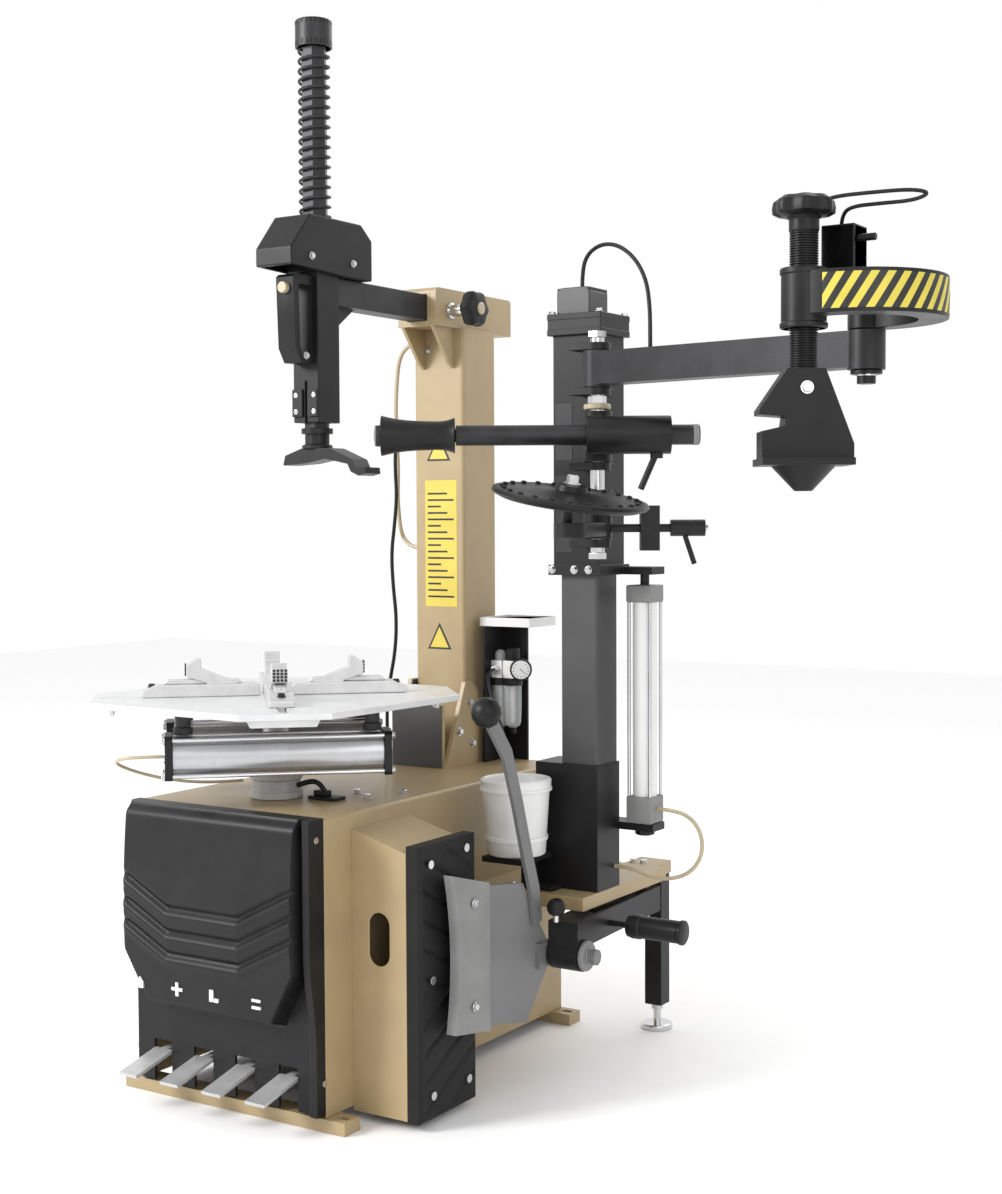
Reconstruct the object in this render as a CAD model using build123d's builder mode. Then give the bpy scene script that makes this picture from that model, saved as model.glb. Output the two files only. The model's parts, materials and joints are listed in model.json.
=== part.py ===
from build123d import *
from math import cos, pi, radians, sin
import os

os.makedirs("parts", exist_ok=True)

# Driving dimensions, millimetres. Origin: centre of the four floor anchors, +Y to the rear, +Z up.
RAIL_HALF, RAIL_Y, RAIL_WIDE, RAIL_HIGH = 267, 396, 46, 24
ANCHOR_X, SLOT_LONG, SLOT_R = 247, 26, 6.5
CAB_HALF, CAB_Y, CAB_TOP, SHEET = 222.5, 415, 565, 3
COVER_X, COVER_WALL = 222.5, 4
PEDAL_X = (-159, -57, 45, 147)
PEDAL_PIVOT_Y, PEDAL_PIVOT_Z, PEDAL_PIN_R = -299, 80, 8
FIT = 0.06                                    # radial clearance of a running fit
TABLE = Vector(-8, -268, 0)
TABLE_TOP, TABLE_THICK, TIP_R, TIP_HALF = 762.5, 12, 344, 81.5
JAW_ANGLES = (-47.5, 42.5, 132.5, 222.5)
BARREL_R, BARREL_Z, BARREL_OFFSET, BARREL_LONG = 36.5, 663, 110, 400
POST_X, POST_Y, POST_HALF, POST_LOW, POST_TOP = -8, 353, 64.3, 580, 1505
TILT_Y, TILT_Z, TILT_R = 396, 605, 12
ARM_Z, ARM_HALF_X, ARM_FRONT, ARM_REAR = (1517, 1571), 25, -99, 481
SHAFT_X, SHAFT_Y, HEX_FLATS = -8, -133, 45
GUIDE_X, GUIDE_Y, GUIDE_LOW, GUIDE_TOP = 62, 68, 1285, 1640
COVER_TOP_Z, COVER_LOW_Z = 1680, 1572
SPRING_LOW, SPRING_TOP, SPRING_R, SPRING_WIRE, SPRING_PITCH = 1681, 2012, 28, 2.5, 20
MAST_X, MAST_Y, MAST_HALF = 438, 162, 41.25
CARRIAGE_HALF, CARRIAGE_LOW, CARRIAGE_TOP = 51, 1000, 1462
PIVOT_X, PIVOT_Y, PIVOT_R, SLEEVE_R = 503, 80, 14, 28
PRESS_CENTRE, PRESS_RADIUS = (1094, -119), 126
PRESS_FROM, PRESS_TO, PRESS_Z = -107.4, 101.6, (1414, 1482)
SCREW_R = 23
SIDE_ANGLE = 32.5                             # the roller bar's heading, degrees from +X
BAR_X, BAR_Y, BAR_Z, BAR_R = 383, -75, 1252, 19
DISC_X, DISC_Y, DISC_Z, DISC_R = 568, -135, 1132, 143
CYL_X, CYL_Y, CYL_R = 531, 221, 24
BREAK_X, BREAK_Y, BREAK_R = 455, 355, 15
BLADE_PIN_Y, BLADE_PIN_Z, BLADE_PIN_R = 22, 262, 14
SIDE = Vector(cos(radians(SIDE_ANGLE)), sin(radians(SIDE_ANGLE)), 0)
NEAR = Vector(sin(radians(SIDE_ANGLE)), -cos(radians(SIDE_ANGLE)), 0)


def on_circle(centre, radius, angle):
    """Point on a circle in plan."""
    return (centre[0] + radius * cos(radians(angle)), centre[1] + radius * sin(radians(angle)))


def span_box(x, y, z, mode=Mode.ADD):
    """Box between two limits on each axis."""
    with Locations(((x[0] + x[1]) / 2, (y[0] + y[1]) / 2, (z[0] + z[1]) / 2)):
        Box(x[1] - x[0], y[1] - y[0], z[1] - z[0], mode=mode)


def rod(start, end, radius, mode=Mode.ADD, top_radius=None):
    """Round bar, or cone, between two points."""
    start, end = Vector(*start), Vector(*end)
    with Locations(Plane(start, z_dir=end - start).location):
        align = (Align.CENTER, Align.CENTER, Align.MIN)
        if top_radius is None:
            Cylinder(radius, (end - start).length, align=align, mode=mode)
        else:
            Cone(radius, top_radius, (end - start).length, align=align, mode=mode)


def upright(x, y, z, radius, mode=Mode.ADD):
    """Vertical round bar between two heights."""
    rod((x, y, z[0]), (x, y, z[1]), radius, mode)


def prism(plane, points, amount, mode=Mode.ADD, both=False):
    """Straight-sided prism on a plane."""
    with BuildSketch(plane) as outline:
        with BuildLine():
            Polyline(*points, close=True)
        make_face()
    extrude(outline.sketch, amount=amount, both=both, mode=mode)


def hexagon(x, y, z, flats, mode=Mode.ADD):
    """Vertical hexagonal bar between two heights."""
    with BuildSketch(Plane.XY.offset(z[0])) as outline:
        with Locations((x, y)):
            RegularPolygon(flats / 2, 6, major_radius=False)
    extrude(outline.sketch, amount=z[1] - z[0], mode=mode)


def side_plane(x):
    """Plane parallel to YZ at x, local axes along +Y and +Z."""
    return Plane((x, 0, 0), x_dir=(0, 1, 0), z_dir=(1, 0, 0))


def save(piece, name):
    """Label a finished piece and write its STEP file."""
    piece.part.label = name
    export_step(piece.part, f"parts/{name}.step")


def hose_path(name, points):
    """Straight runs joined by tangent arcs that use 0.45 of the shorter run."""
    corners = [Vector(*p) for p in points]
    radii = []
    for before, corner, after in zip(corners, corners[1:], corners[2:]):
        turn = radians((corner - before).get_angle(after - corner))
        run = min((corner - before).length, (after - corner).length)
        radii.append(0.45 * run * cos(turn / 2) / sin(turn / 2))
    print(name, "radii", [round(r, 1) for r in radii])
    return FilletPolyline(*corners, radius=radii)


# ---------------------------------------------------------------- frame and cabinet
with BuildPart() as floor_rails:
    for side in (-1, 1):
        y = (side * RAIL_Y - RAIL_WIDE / 2, side * RAIL_Y + RAIL_WIDE / 2)
        inner_y = (y[0] + 4, y[1] - 4)
        span_box((-RAIL_HALF, RAIL_HALF), y, (0, RAIL_HIGH))
        span_box((-RAIL_HALF + 4, RAIL_HALF - 4), inner_y, (0, RAIL_HIGH - 4), Mode.SUBTRACT)
        for x in (-ANCHOR_X, ANCHOR_X):
            span_box((x - 16, x + 16), (side * RAIL_Y - 12, side * RAIL_Y + 12), (0, RAIL_HIGH))
            with BuildSketch() as slot:
                with Locations((x, side * RAIL_Y)):
                    SlotOverall(SLOT_LONG, 2 * SLOT_R)
            extrude(slot.sketch, amount=RAIL_HIGH, mode=Mode.SUBTRACT)
save(floor_rails, "floor_rails")

with BuildPart() as cabinet_shell:
    span_box((-CAB_HALF, CAB_HALF), (-CAB_Y, CAB_Y), (RAIL_HIGH, CAB_TOP))
    fillet(cabinet_shell.edges().filter_by(Axis.Y).group_by(Axis.Z)[-1], 8)
    inside = CAB_HALF - SHEET
    span_box((-inside, inside), (-CAB_Y - 1, CAB_Y - SHEET), (0, CAB_TOP - SHEET), Mode.SUBTRACT)
    upright(TABLE.X, TABLE.Y, (CAB_TOP - 10, CAB_TOP + 1), 26, Mode.SUBTRACT)
save(cabinet_shell, "cabinet_shell")

COVER_BACK = -CAB_Y - 0.3
cover_outline = [(COVER_BACK, 566), (-459, 566), (-466, 556), (-479, 400), (-476, 300), (-469, 165),
                 (-462, 150), (-431, 140), (-427, 31), (COVER_BACK, 31)]
cover_inside = [(COVER_BACK + 1, 562), (-457, 562), (-462, 554), (-475, 400), (-472, 300), (-465, 167),
                (-460, 154), (-427, 144), (-423, 27), (COVER_BACK + 1, 27)]
with BuildPart() as front_cover:
    prism(side_plane(-COVER_X), cover_outline, 2 * COVER_X)
    prism(side_plane(-COVER_X + COVER_WALL), cover_inside, 2 * (COVER_X - COVER_WALL), Mode.SUBTRACT)
    for x in PEDAL_X:
        span_box((x - 25, x + 25), (-440, -410), (20, 111), Mode.SUBTRACT)
save(front_cover, "front_cover")


tread_outline = [(-521, 64), (-524, 71), (-519, 71), (-425, 93), (-425, 87)]
lever_outline = [(-445, 82), (-445, 88), (-425, 93), (-300, 97), (-300, 66), (-330, 72), (-425, 84)]
for number, x in enumerate(PEDAL_X, 1):
    with BuildPart() as pedal:
        prism(side_plane(x - 22), tread_outline, 44)
        prism(side_plane(x - 9), lever_outline, 18)
        rod((x - 12, PEDAL_PIVOT_Y, PEDAL_PIVOT_Z), (x + 12, PEDAL_PIVOT_Y, PEDAL_PIVOT_Z), 17)
        rod((x - 13, PEDAL_PIVOT_Y, PEDAL_PIVOT_Z), (x + 13, PEDAL_PIVOT_Y, PEDAL_PIVOT_Z),
            PEDAL_PIN_R + FIT, Mode.SUBTRACT)
    save(pedal, f"pedal_{number}")

PAD_X, PAD_Y = (344, 374), (-335, -151)
with BuildPart() as pad_support:
    step_outline = [(CAB_HALF, 16), (PAD_X[0], 16), (PAD_X[0], 500), (CAB_HALF, 535)]
    prism(Plane.XZ.offset(-PAD_Y[0]), step_outline, -(PAD_Y[1] - PAD_Y[0]))
    span_box((CAB_HALF - 1, PAD_X[0] - SHEET), (PAD_Y[0] + SHEET, PAD_Y[1] - SHEET), (10, 490),
             Mode.SUBTRACT)
    with BuildSketch(Plane.XZ.offset(-PAD_Y[0] + 1)) as hand_slot:
        with Locations((284, 339)):
            SlotOverall(97, 45, rotation=90)
    extrude(hand_slot.sketch, amount=-10, mode=Mode.SUBTRACT)
save(pad_support, "pad_support")

with BuildPart() as breaker_pad:
    span_box(PAD_X, PAD_Y, (14, 514))
    fillet(breaker_pad.edges().filter_by(Axis.X), 12)
save(breaker_pad, "breaker_pad")

PAD_BOLTS = ((-305, 480), (-190, 492), (-300, 270), (-185, 60), (-300, 60))

with BuildPart() as gear_motor:
    span_box((TABLE.X - 90, TABLE.X + 90), (TABLE.Y - 90, TABLE.Y + 90), (400, 520))
    upright(TABLE.X, TABLE.Y, (520, CAB_TOP - SHEET), 60)
    upright(TABLE.X, TABLE.Y, (390, CAB_TOP), 25 + FIT, Mode.SUBTRACT)
    rod((TABLE.X - 20, TABLE.Y + 90, 450), (TABLE.X - 20, TABLE.Y + 330, 450), 70)
save(gear_motor, "gear_motor")

# ---------------------------------------------------------------- turntable
with BuildPart() as spindle:
    upright(TABLE.X, TABLE.Y, (400, TABLE_TOP - TABLE_THICK), 25)
    upright(TABLE.X, TABLE.Y, (CAB_TOP + 1, 614), 50)
    upright(TABLE.X, TABLE.Y, (716, TABLE_TOP - TABLE_THICK), 95)
save(spindle, "spindle")


def table_point(along, across, angle, z):
    """Point on the table from its distance along and across one jaw's direction."""
    turn = radians(angle)
    return (TABLE.X + along * cos(turn) - across * sin(turn),
            TABLE.Y + along * sin(turn) + across * cos(turn), z)


def jaw_plane(angle):
    """Vertical plane through the table's axis along one jaw: local x outward, local y up."""
    turn = radians(angle)
    return Plane((TABLE.X, TABLE.Y, 0), x_dir=(cos(turn), sin(turn), 0), z_dir=(sin(turn), -cos(turn), 0))


with BuildPart() as table_plate:
    corners = []
    for angle in JAW_ANGLES:
        corners.append(table_point(TIP_R, -TIP_HALF, angle, 0)[:2])
        corners.append(table_point(TIP_R, TIP_HALF, angle, 0)[:2])
    prism(Plane.XY.offset(TABLE_TOP - TABLE_THICK), corners, TABLE_THICK)
    for angle in JAW_ANGLES:
        slot = [(100, TABLE_TOP - 20), (325, TABLE_TOP - 20), (325, TABLE_TOP + 5), (100, TABLE_TOP + 5)]
        prism(jaw_plane(angle), slot, 8, Mode.SUBTRACT, both=True)
save(table_plate, "table_plate")

with BuildPart() as chuck_cylinders:
    barrel_angle = JAW_ANGLES[1]
    for side in (-1, 1):
        ends = [table_point(end * BARREL_LONG / 2, side * BARREL_OFFSET, barrel_angle, BARREL_Z)
                for end in (-1, 1)]
        rod(ends[0], ends[1], BARREL_R)
        for end, place in zip((-1, 1), ends):
            heading = Vector(*place) - Vector(*ends[0 if end == 1 else 1])
            with Locations(Plane(place, x_dir=(0, 0, 1), z_dir=heading).location):
                Box(82, 82, 14)
            lug = table_point(end * (BARREL_LONG / 2 - 26), side * BARREL_OFFSET, barrel_angle, 0)
            upright(lug[0], lug[1], (BARREL_Z + 20, TABLE_TOP - TABLE_THICK), 16)
save(chuck_cylinders, "chuck_cylinders")

slider = [(30, TABLE_TOP + 0.5), (250, TABLE_TOP + 0.5), (250, 774), (225, 786), (40, 786), (30, 780)]
hook = [(70, 786), (128, 786), (168, 800), (168, 822), (150, 834), (140, 834), (140, 815)]
tongue = [(110, TABLE_TOP - TABLE_THICK), (230, TABLE_TOP - TABLE_THICK), (230, 765), (110, 765)]
for number, angle in enumerate(JAW_ANGLES, 1):
    with BuildPart() as jaw:
        prism(jaw_plane(angle), slider, 23, both=True)
        prism(jaw_plane(angle), hook, 15, both=True)
        prism(jaw_plane(angle), tongue, 7.6, both=True)
    save(jaw, f"jaw_{number}")

# ---------------------------------------------------------------- tilting column
post_x = (POST_X - POST_HALF, POST_X + POST_HALF)
post_y = (POST_Y - POST_HALF, POST_Y + POST_HALF)
with BuildPart() as hinge_bracket:
    plate = [(200, CAB_TOP), (419 - 4, CAB_TOP), (419 - 4, 640), (300, 745), (275, 745)]
    for x in (post_x[0] - 11, post_x[1] + 1):
        prism(side_plane(x), plate, 10)
    span_box((post_x[0] - 1, post_x[1] + 1), (200, 210), (CAB_TOP, 700))
    rod((post_x[0] - 15, TILT_Y, TILT_Z), (post_x[1] + 15, TILT_Y, TILT_Z), TILT_R, Mode.SUBTRACT)
save(hinge_bracket, "hinge_bracket")

with BuildPart() as pins_and_screws:
    for y, z in PAD_BOLTS:
        rod((PAD_X[1], y, z), (PAD_X[1] + 5, y, z), 8)
    for side in (-1, 1):
        for z in (90, 530):
            rod((side * COVER_X, -440 + (z < 100) * 18, z),
                (side * (COVER_X + 4), -440 + (z < 100) * 18, z), 6)
    rod((-210, PEDAL_PIVOT_Y, PEDAL_PIVOT_Z), (210, PEDAL_PIVOT_Y, PEDAL_PIVOT_Z), PEDAL_PIN_R)
    for side in (-1, 1):
        x = sorted((side * 210, side * 219))
        span_box(x, (PEDAL_PIVOT_Y - 20, PEDAL_PIVOT_Y + 20), (RAIL_HIGH, PEDAL_PIVOT_Z + 20))
    rod((post_x[0] - 17, TILT_Y, TILT_Z), (post_x[1] + 17, TILT_Y, TILT_Z), TILT_R)
    rod((post_x[1] + 11, TILT_Y, TILT_Z), (post_x[1] + 19, TILT_Y, TILT_Z), 17)
    rod((post_x[0] - 19, TILT_Y, TILT_Z), (post_x[0] - 11, TILT_Y, TILT_Z), 17)
save(pins_and_screws, "pins_and_screws")

with BuildPart() as column_post:
    span_box(post_x, post_y, (POST_LOW, POST_TOP))
    fillet(column_post.edges().filter_by(Axis.Z), 8)
    span_box((post_x[0] + 7, post_x[1] - 7), (post_y[0] + 7, post_y[1] - 7), (POST_LOW - 1, POST_TOP - 10),
             Mode.SUBTRACT)
    for x in (post_x[0] + 7, post_x[1] - 19):
        rod((x, TILT_Y, TILT_Z), (x + 12, TILT_Y, TILT_Z), 20)
    rod((post_x[0] - 1, TILT_Y, TILT_Z), (post_x[1] + 1, TILT_Y, TILT_Z), TILT_R + FIT, Mode.SUBTRACT)
save(column_post, "column_post")

HEAD_X, HEAD_Y, HEAD_Z = (-57, 41), (209, 506), (1505, 1586)
with BuildPart() as head_box:
    span_box(HEAD_X, HEAD_Y, HEAD_Z)
    fillet(head_box.edges().filter_by(Axis.X).group_by(Axis.Z)[-1], 10)
    span_box((SHAFT_X - ARM_HALF_X - 1, SHAFT_X + ARM_HALF_X + 1), (HEAD_Y[0] - 1, HEAD_Y[1] + 1),
             (ARM_Z[0] - 1, ARM_Z[1] + 1), Mode.SUBTRACT)
    rod((0, 262, 1540), (60, 262, 1540), 8 + FIT, Mode.SUBTRACT)
    front_gusset = [(209, HEAD_Z[0]), (post_y[0], HEAD_Z[0]), (post_y[0], 1420), (270, 1430)]
    for x in (-50, 26):
        prism(side_plane(x), front_gusset, 8)
save(head_box, "head_box")

with BuildPart() as lock_knob:
    rod((18.5, 262, 1540), (92, 262, 1540), 8)
    rod((HEAD_X[1] + 1, 262, 1540), (84, 262, 1540), 16)
    rod((84, 262, 1540), (120, 262, 1540), 38)
save(lock_knob, "lock_knob")

# ---------------------------------------------------------------- sliding arm and head
with BuildPart() as arm_tube:
    arm_x = (SHAFT_X - ARM_HALF_X, SHAFT_X + ARM_HALF_X)
    span_box(arm_x, (ARM_FRONT, ARM_REAR), ARM_Z)
    span_box((arm_x[0] + 5, arm_x[1] - 5), (ARM_FRONT + 20, ARM_REAR + 1), (ARM_Z[0] + 5, ARM_Z[1] - 5),
             Mode.SUBTRACT)
    web = [(ARM_FRONT, ARM_Z[0]), (-20, ARM_Z[0]), (ARM_FRONT, 1460)]
    prism(side_plane(SHAFT_X - 8), web, 16)
save(arm_tube, "arm_tube")

with BuildPart() as guide_tube:
    guide_x = (SHAFT_X - GUIDE_X / 2, SHAFT_X + GUIDE_X / 2)
    guide_y = (SHAFT_Y - GUIDE_Y / 2, SHAFT_Y + GUIDE_Y / 2)
    span_box(guide_x, guide_y, (GUIDE_LOW, GUIDE_TOP))
    hexagon(SHAFT_X, SHAFT_Y, (GUIDE_LOW - 1, GUIDE_TOP + 1), HEX_FLATS + 1, Mode.SUBTRACT)
    span_box((SHAFT_X - 2, SHAFT_X + 2), (guide_y[0] - 1, SHAFT_Y), (GUIDE_LOW - 1, 1365), Mode.SUBTRACT)
save(guide_tube, "guide_tube")

cowl = [(-261, 1578), (-261, 1612), (-204, COVER_TOP_Z), (-42, COVER_TOP_Z), (-7, 1652), (-7, COVER_LOW_Z),
        (-90, COVER_LOW_Z)]
with BuildPart() as head_cover:
    prism(side_plane(SHAFT_X - 44), cowl, 88)
    span_box(guide_x, guide_y, (COVER_LOW_Z - 1, GUIDE_TOP), Mode.SUBTRACT)
    span_box((SHAFT_X - 38, SHAFT_X + 38), (-250, guide_y[0] - 6), (COVER_LOW_Z - 5, 1610), Mode.SUBTRACT)
    hexagon(SHAFT_X, SHAFT_Y, (1600, COVER_TOP_Z + 1), HEX_FLATS + 2, Mode.SUBTRACT)
save(head_cover, "head_cover")

HANDLE_Y, HANDLE_Z = (-229, guide_y[0]), (1398, 1566)
with BuildPart() as release_handle:
    loop = [(HANDLE_Y[1], HANDLE_Z[0]), (-206, HANDLE_Z[0]), (-223, 1425), (HANDLE_Y[0], 1560),
            (-222, HANDLE_Z[1]), (HANDLE_Y[1], HANDLE_Z[1])]
    gap = [(-175, 1415), (-200, 1415), (-208, 1430), (-212, 1548), (-175, 1548)]
    prism(side_plane(SHAFT_X - 21), loop, 42)
    prism(side_plane(SHAFT_X - 22), gap, 44, Mode.SUBTRACT)
    rod((SHAFT_X, -232, 1540), (SHAFT_X, -200, 1540), 11.4, Mode.SUBTRACT)
save(release_handle, "release_handle")

with BuildPart() as lock_button:
    rod((SHAFT_X, -238, 1540), (SHAFT_X, -214, 1540), 11)
save(lock_button, "lock_button")

CAP_Z = (2012, 2065)
with BuildPart() as hex_shaft:
    hexagon(SHAFT_X, SHAFT_Y, (1275, CAP_Z[0]), HEX_FLATS)
    upright(SHAFT_X, SHAFT_Y, CAP_Z, 36)
    fillet(hex_shaft.edges().group_by(Axis.Z)[-1], 4)
save(hex_shaft, "hex_shaft")

with BuildPart() as return_spring:
    coils = (SPRING_TOP - SPRING_LOW - 2 * SPRING_WIRE - 1) / SPRING_PITCH
    with BuildLine() as coil:
        Helix(SPRING_PITCH, coils * SPRING_PITCH, SPRING_R + 1,
              center=(SHAFT_X, SHAFT_Y, SPRING_LOW + SPRING_WIRE + 0.5))
    with BuildSketch(Plane(coil.line @ 0, z_dir=coil.line % 0)):
        Circle(SPRING_WIRE)
    sweep(is_frenet=True)
save(return_spring, "return_spring")

with BuildPart() as mount_head:
    upright(SHAFT_X, SHAFT_Y, (1264, 1274.5), 31)
    upright(SHAFT_X, SHAFT_Y, (1232, 1264), 24)
    duck = [(-75, 1203), (-70, 1222), (-30, 1235), (40, 1235), (96, 1212), (104, 1196), (126, 1196),
            (128, 1184), (110, 1180), (92, 1188), (84, 1203), (30, 1214), (-20, 1206)]
    prism(Plane.XZ.offset(-SHAFT_Y + 24), duck, -48)
save(mount_head, "mount_head")

# ---------------------------------------------------------------- air service unit, tray and tub
with BuildPart() as regulator_unit:
    span_box((78, 84), (326, 414), (CAB_TOP, 862))
    span_box((78, 142), (408, 414), (CAB_TOP, 862))
    span_box((82, 142), (352, 386), (748, 787))
    span_box((90, 110), (386, 408), (755, 780))
    for x in (97, 129):
        upright(x, 369, (640, 748), 19)
        upright(x, 369, (787, 812), 12)
    rod((142, 369, 770), (160, 369, 770), 8)
    rod((160, 369, 770), (170, 353, 770), 25)
save(regulator_unit, "regulator_unit")

with BuildPart() as tool_tray:
    span_box((68, 196), (330, 440), (862.5, 882))
    span_box((70, 194), (332, 438), (865, 883), Mode.SUBTRACT)
save(tool_tray, "tool_tray")

TUB = (344, 36)
with BuildPart() as tub:
    rod((*TUB, 441), (*TUB, 578), 58, top_radius=66)
    rod((*TUB, 444), (*TUB, 579), 55, Mode.SUBTRACT, top_radius=63)
save(tub, "tub")

with BuildPart() as tub_lid:
    upright(*TUB, (566, 590), 70)
    upright(*TUB, (565, 586), 67.5, Mode.SUBTRACT)
save(tub_lid, "tub_lid")

# ---------------------------------------------------------------- side frame and helper mast
with BuildPart() as side_frame:
    span_box((CAB_HALF, 481), (60, 411), (335, 362))
    span_box((380, 455), (400, 487), (335, 362))
    upright(BREAK_X, BREAK_Y, (262, 335), BREAK_R)
save(side_frame, "side_frame")

with BuildPart() as leg:
    span_box((412, 452), (445, 485), (53, 335))
    span_box((415, 449), (448, 482), (60, 335), Mode.SUBTRACT)
save(leg, "leg")

with BuildPart() as levelling_foot:
    upright(432, 465, (0, 12), 33)
    fillet(levelling_foot.edges().group_by(Axis.Z)[-1], 4)
    upright(432, 465, (12, 42), 8)
    hexagon(432, 465, (42, 53), 24)
save(levelling_foot, "levelling_foot")

with BuildPart() as helper_base:
    span_box((340, 481), (117, 207), (362, 612))
    span_box((348, 473), (125, 208), (362, 604), Mode.SUBTRACT)
    span_box((440, 560), (200, 250), (476, 491))
    span_box((300, 390), (-20, 92), (429, 440.5))
    span_box((330, 360), (76, 92), (362, 440))
    span_box((330, 400), (76, 118), (362, 374))
save(helper_base, "helper_base")

with BuildPart() as mast:
    mast_x = (MAST_X - MAST_HALF, MAST_X + MAST_HALF)
    mast_y = (MAST_Y - MAST_HALF, MAST_Y + MAST_HALF)
    span_box(mast_x, mast_y, (612, CARRIAGE_TOP - 4))
    fillet(mast.edges().filter_by(Axis.Z), 6)
    span_box((mast_x[0] + 6, mast_x[1] - 6), (mast_y[0] + 6, mast_y[1] - 6), (620, CARRIAGE_TOP),
             Mode.SUBTRACT)
save(mast, "mast")

EARS = ((1416, 1430), (1331, 1345), (1188, 1203), (1040, 1056))
with BuildPart() as carriage:
    outer = CARRIAGE_HALF
    inner = MAST_HALF + 1
    span_box((MAST_X - outer, MAST_X + outer), (MAST_Y - outer, MAST_Y + outer),
             (CARRIAGE_LOW, CARRIAGE_TOP + 28))
    for z in ((CARRIAGE_LOW - 15, CARRIAGE_LOW + 5), (CARRIAGE_TOP, CARRIAGE_TOP + 28)):
        span_box((MAST_X - outer - 8, MAST_X + outer + 8), (MAST_Y - outer - 8, MAST_Y + outer + 8), z)
    for z in EARS:
        span_box((455, PIVOT_X), (PIVOT_Y - 26, 150), z)
        upright(PIVOT_X, PIVOT_Y, z, 26)
    span_box((MAST_X, 560), (195, 250), (CARRIAGE_LOW - 15, CARRIAGE_LOW))
    span_box((MAST_X - inner, MAST_X + inner), (MAST_Y - inner, MAST_Y + inner),
             (CARRIAGE_LOW - 16, CARRIAGE_TOP), Mode.SUBTRACT)
    upright(PIVOT_X, PIVOT_Y, (EARS[-1][0] - 1, EARS[0][1] + 1), PIVOT_R, Mode.SUBTRACT)
    span_box((392, 464), (119, 191), (CARRIAGE_TOP + 28, 1545))
    upright(CYL_X, CYL_Y, (600, CARRIAGE_LOW - 15), 9)
    upright(CYL_X, CYL_Y, (580, 600), CYL_R - 3 - 0.3)
save(carriage, "carriage")

with BuildPart() as arm_pivot_rod:
    upright(PIVOT_X, PIVOT_Y, (1030, 1440), PIVOT_R)
    hexagon(PIVOT_X, PIVOT_Y, (1440, 1452), 34)
    hexagon(PIVOT_X, PIVOT_Y, (1018, 1030), 34)
save(arm_pivot_rod, "arm_pivot_rod")

with BuildPart() as lift_cylinder:
    upright(CYL_X, CYL_Y, (545, 930), CYL_R)
    for z in ((491.5, 545), (930, 964)):
        span_box((CYL_X - 28, CYL_X + 28), (CYL_Y - 28, CYL_Y + 28), z)
    upright(CYL_X, CYL_Y, (560, 940), CYL_R - 3, Mode.SUBTRACT)
    upright(CYL_X, CYL_Y, (900, 970), 9 + FIT, Mode.SUBTRACT)
save(lift_cylinder, "lift_cylinder")

# ---------------------------------------------------------------- swing beam and bead press
PRESS_PIVOT = on_circle(PRESS_CENTRE, PRESS_RADIUS, PRESS_TO)
SCREW = on_circle(PRESS_CENTRE, PRESS_RADIUS, PRESS_FROM)
BEAM_Z = (1350, 1412)
with BuildPart() as swing_beam:
    start, end = Vector(PIVOT_X, PIVOT_Y), Vector(*PRESS_PIVOT)
    heading = (end - start).normalized()
    with BuildSketch(Plane((start.X, start.Y, BEAM_Z[0]), x_dir=heading, z_dir=(0, 0, 1))) as beam_plan:
        with Locations(((end - start).length / 2, 0)):
            Rectangle((end - start).length, 50)
    extrude(beam_plan.sketch, amount=BEAM_Z[1] - BEAM_Z[0])
    upright(PIVOT_X, PIVOT_Y, (1346, 1415), SLEEVE_R)
    upright(*PRESS_PIVOT, (1346, 1412), 32)
    upright(PIVOT_X, PIVOT_Y, (1340, 1420), PIVOT_R + FIT, Mode.SUBTRACT)
    upright(*PRESS_PIVOT, (1340, 1420), PIVOT_R + FIT, Mode.SUBTRACT)
save(swing_beam, "swing_beam")

with BuildPart() as press_arm:
    with BuildSketch(Plane.XY.offset(PRESS_Z[0])) as arm_plan:
        with Locations(PRESS_CENTRE):
            Circle(PRESS_RADIUS + 24)
            Circle(PRESS_RADIUS - 24, mode=Mode.SUBTRACT)
        with BuildLine():
            Polyline(PRESS_CENTRE, on_circle(PRESS_CENTRE, 400, PRESS_TO),
                     on_circle(PRESS_CENTRE, 400, 180), on_circle(PRESS_CENTRE, 400, PRESS_FROM), close=True)
        make_face(mode=Mode.SUBTRACT)
        with Locations(PRESS_PIVOT):
            Circle(32)
    extrude(amount=PRESS_Z[1] - PRESS_Z[0])
    upright(*SCREW, (1394, 1488), 36)
    upright(*SCREW, (1390, 1490), SCREW_R + FIT, Mode.SUBTRACT)
    upright(*PRESS_PIVOT, (1345, PRESS_Z[0] + 1), PIVOT_R)
    upright(*PRESS_PIVOT, (1338, 1345), 27)
    upright(*PRESS_PIVOT, (1322, 1338), 16)
    span_box((1064, 1120), (-188, -132), (PRESS_Z[1], PRESS_Z[1] + 80))
    span_box((1050, 1125), (-225, -135), (PRESS_Z[1] - 12, PRESS_Z[1]))
    upright(*SCREW, (1470, 1490), SCREW_R + FIT, Mode.SUBTRACT)
save(press_arm, "press_arm")

with BuildPart() as press_screw:
    upright(*SCREW, (1310, 1545), SCREW_R)
    upright(*SCREW, (1545, 1572), 22)
    upright(*SCREW, (1570, 1602), 48)
save(press_screw, "press_screw")

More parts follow.
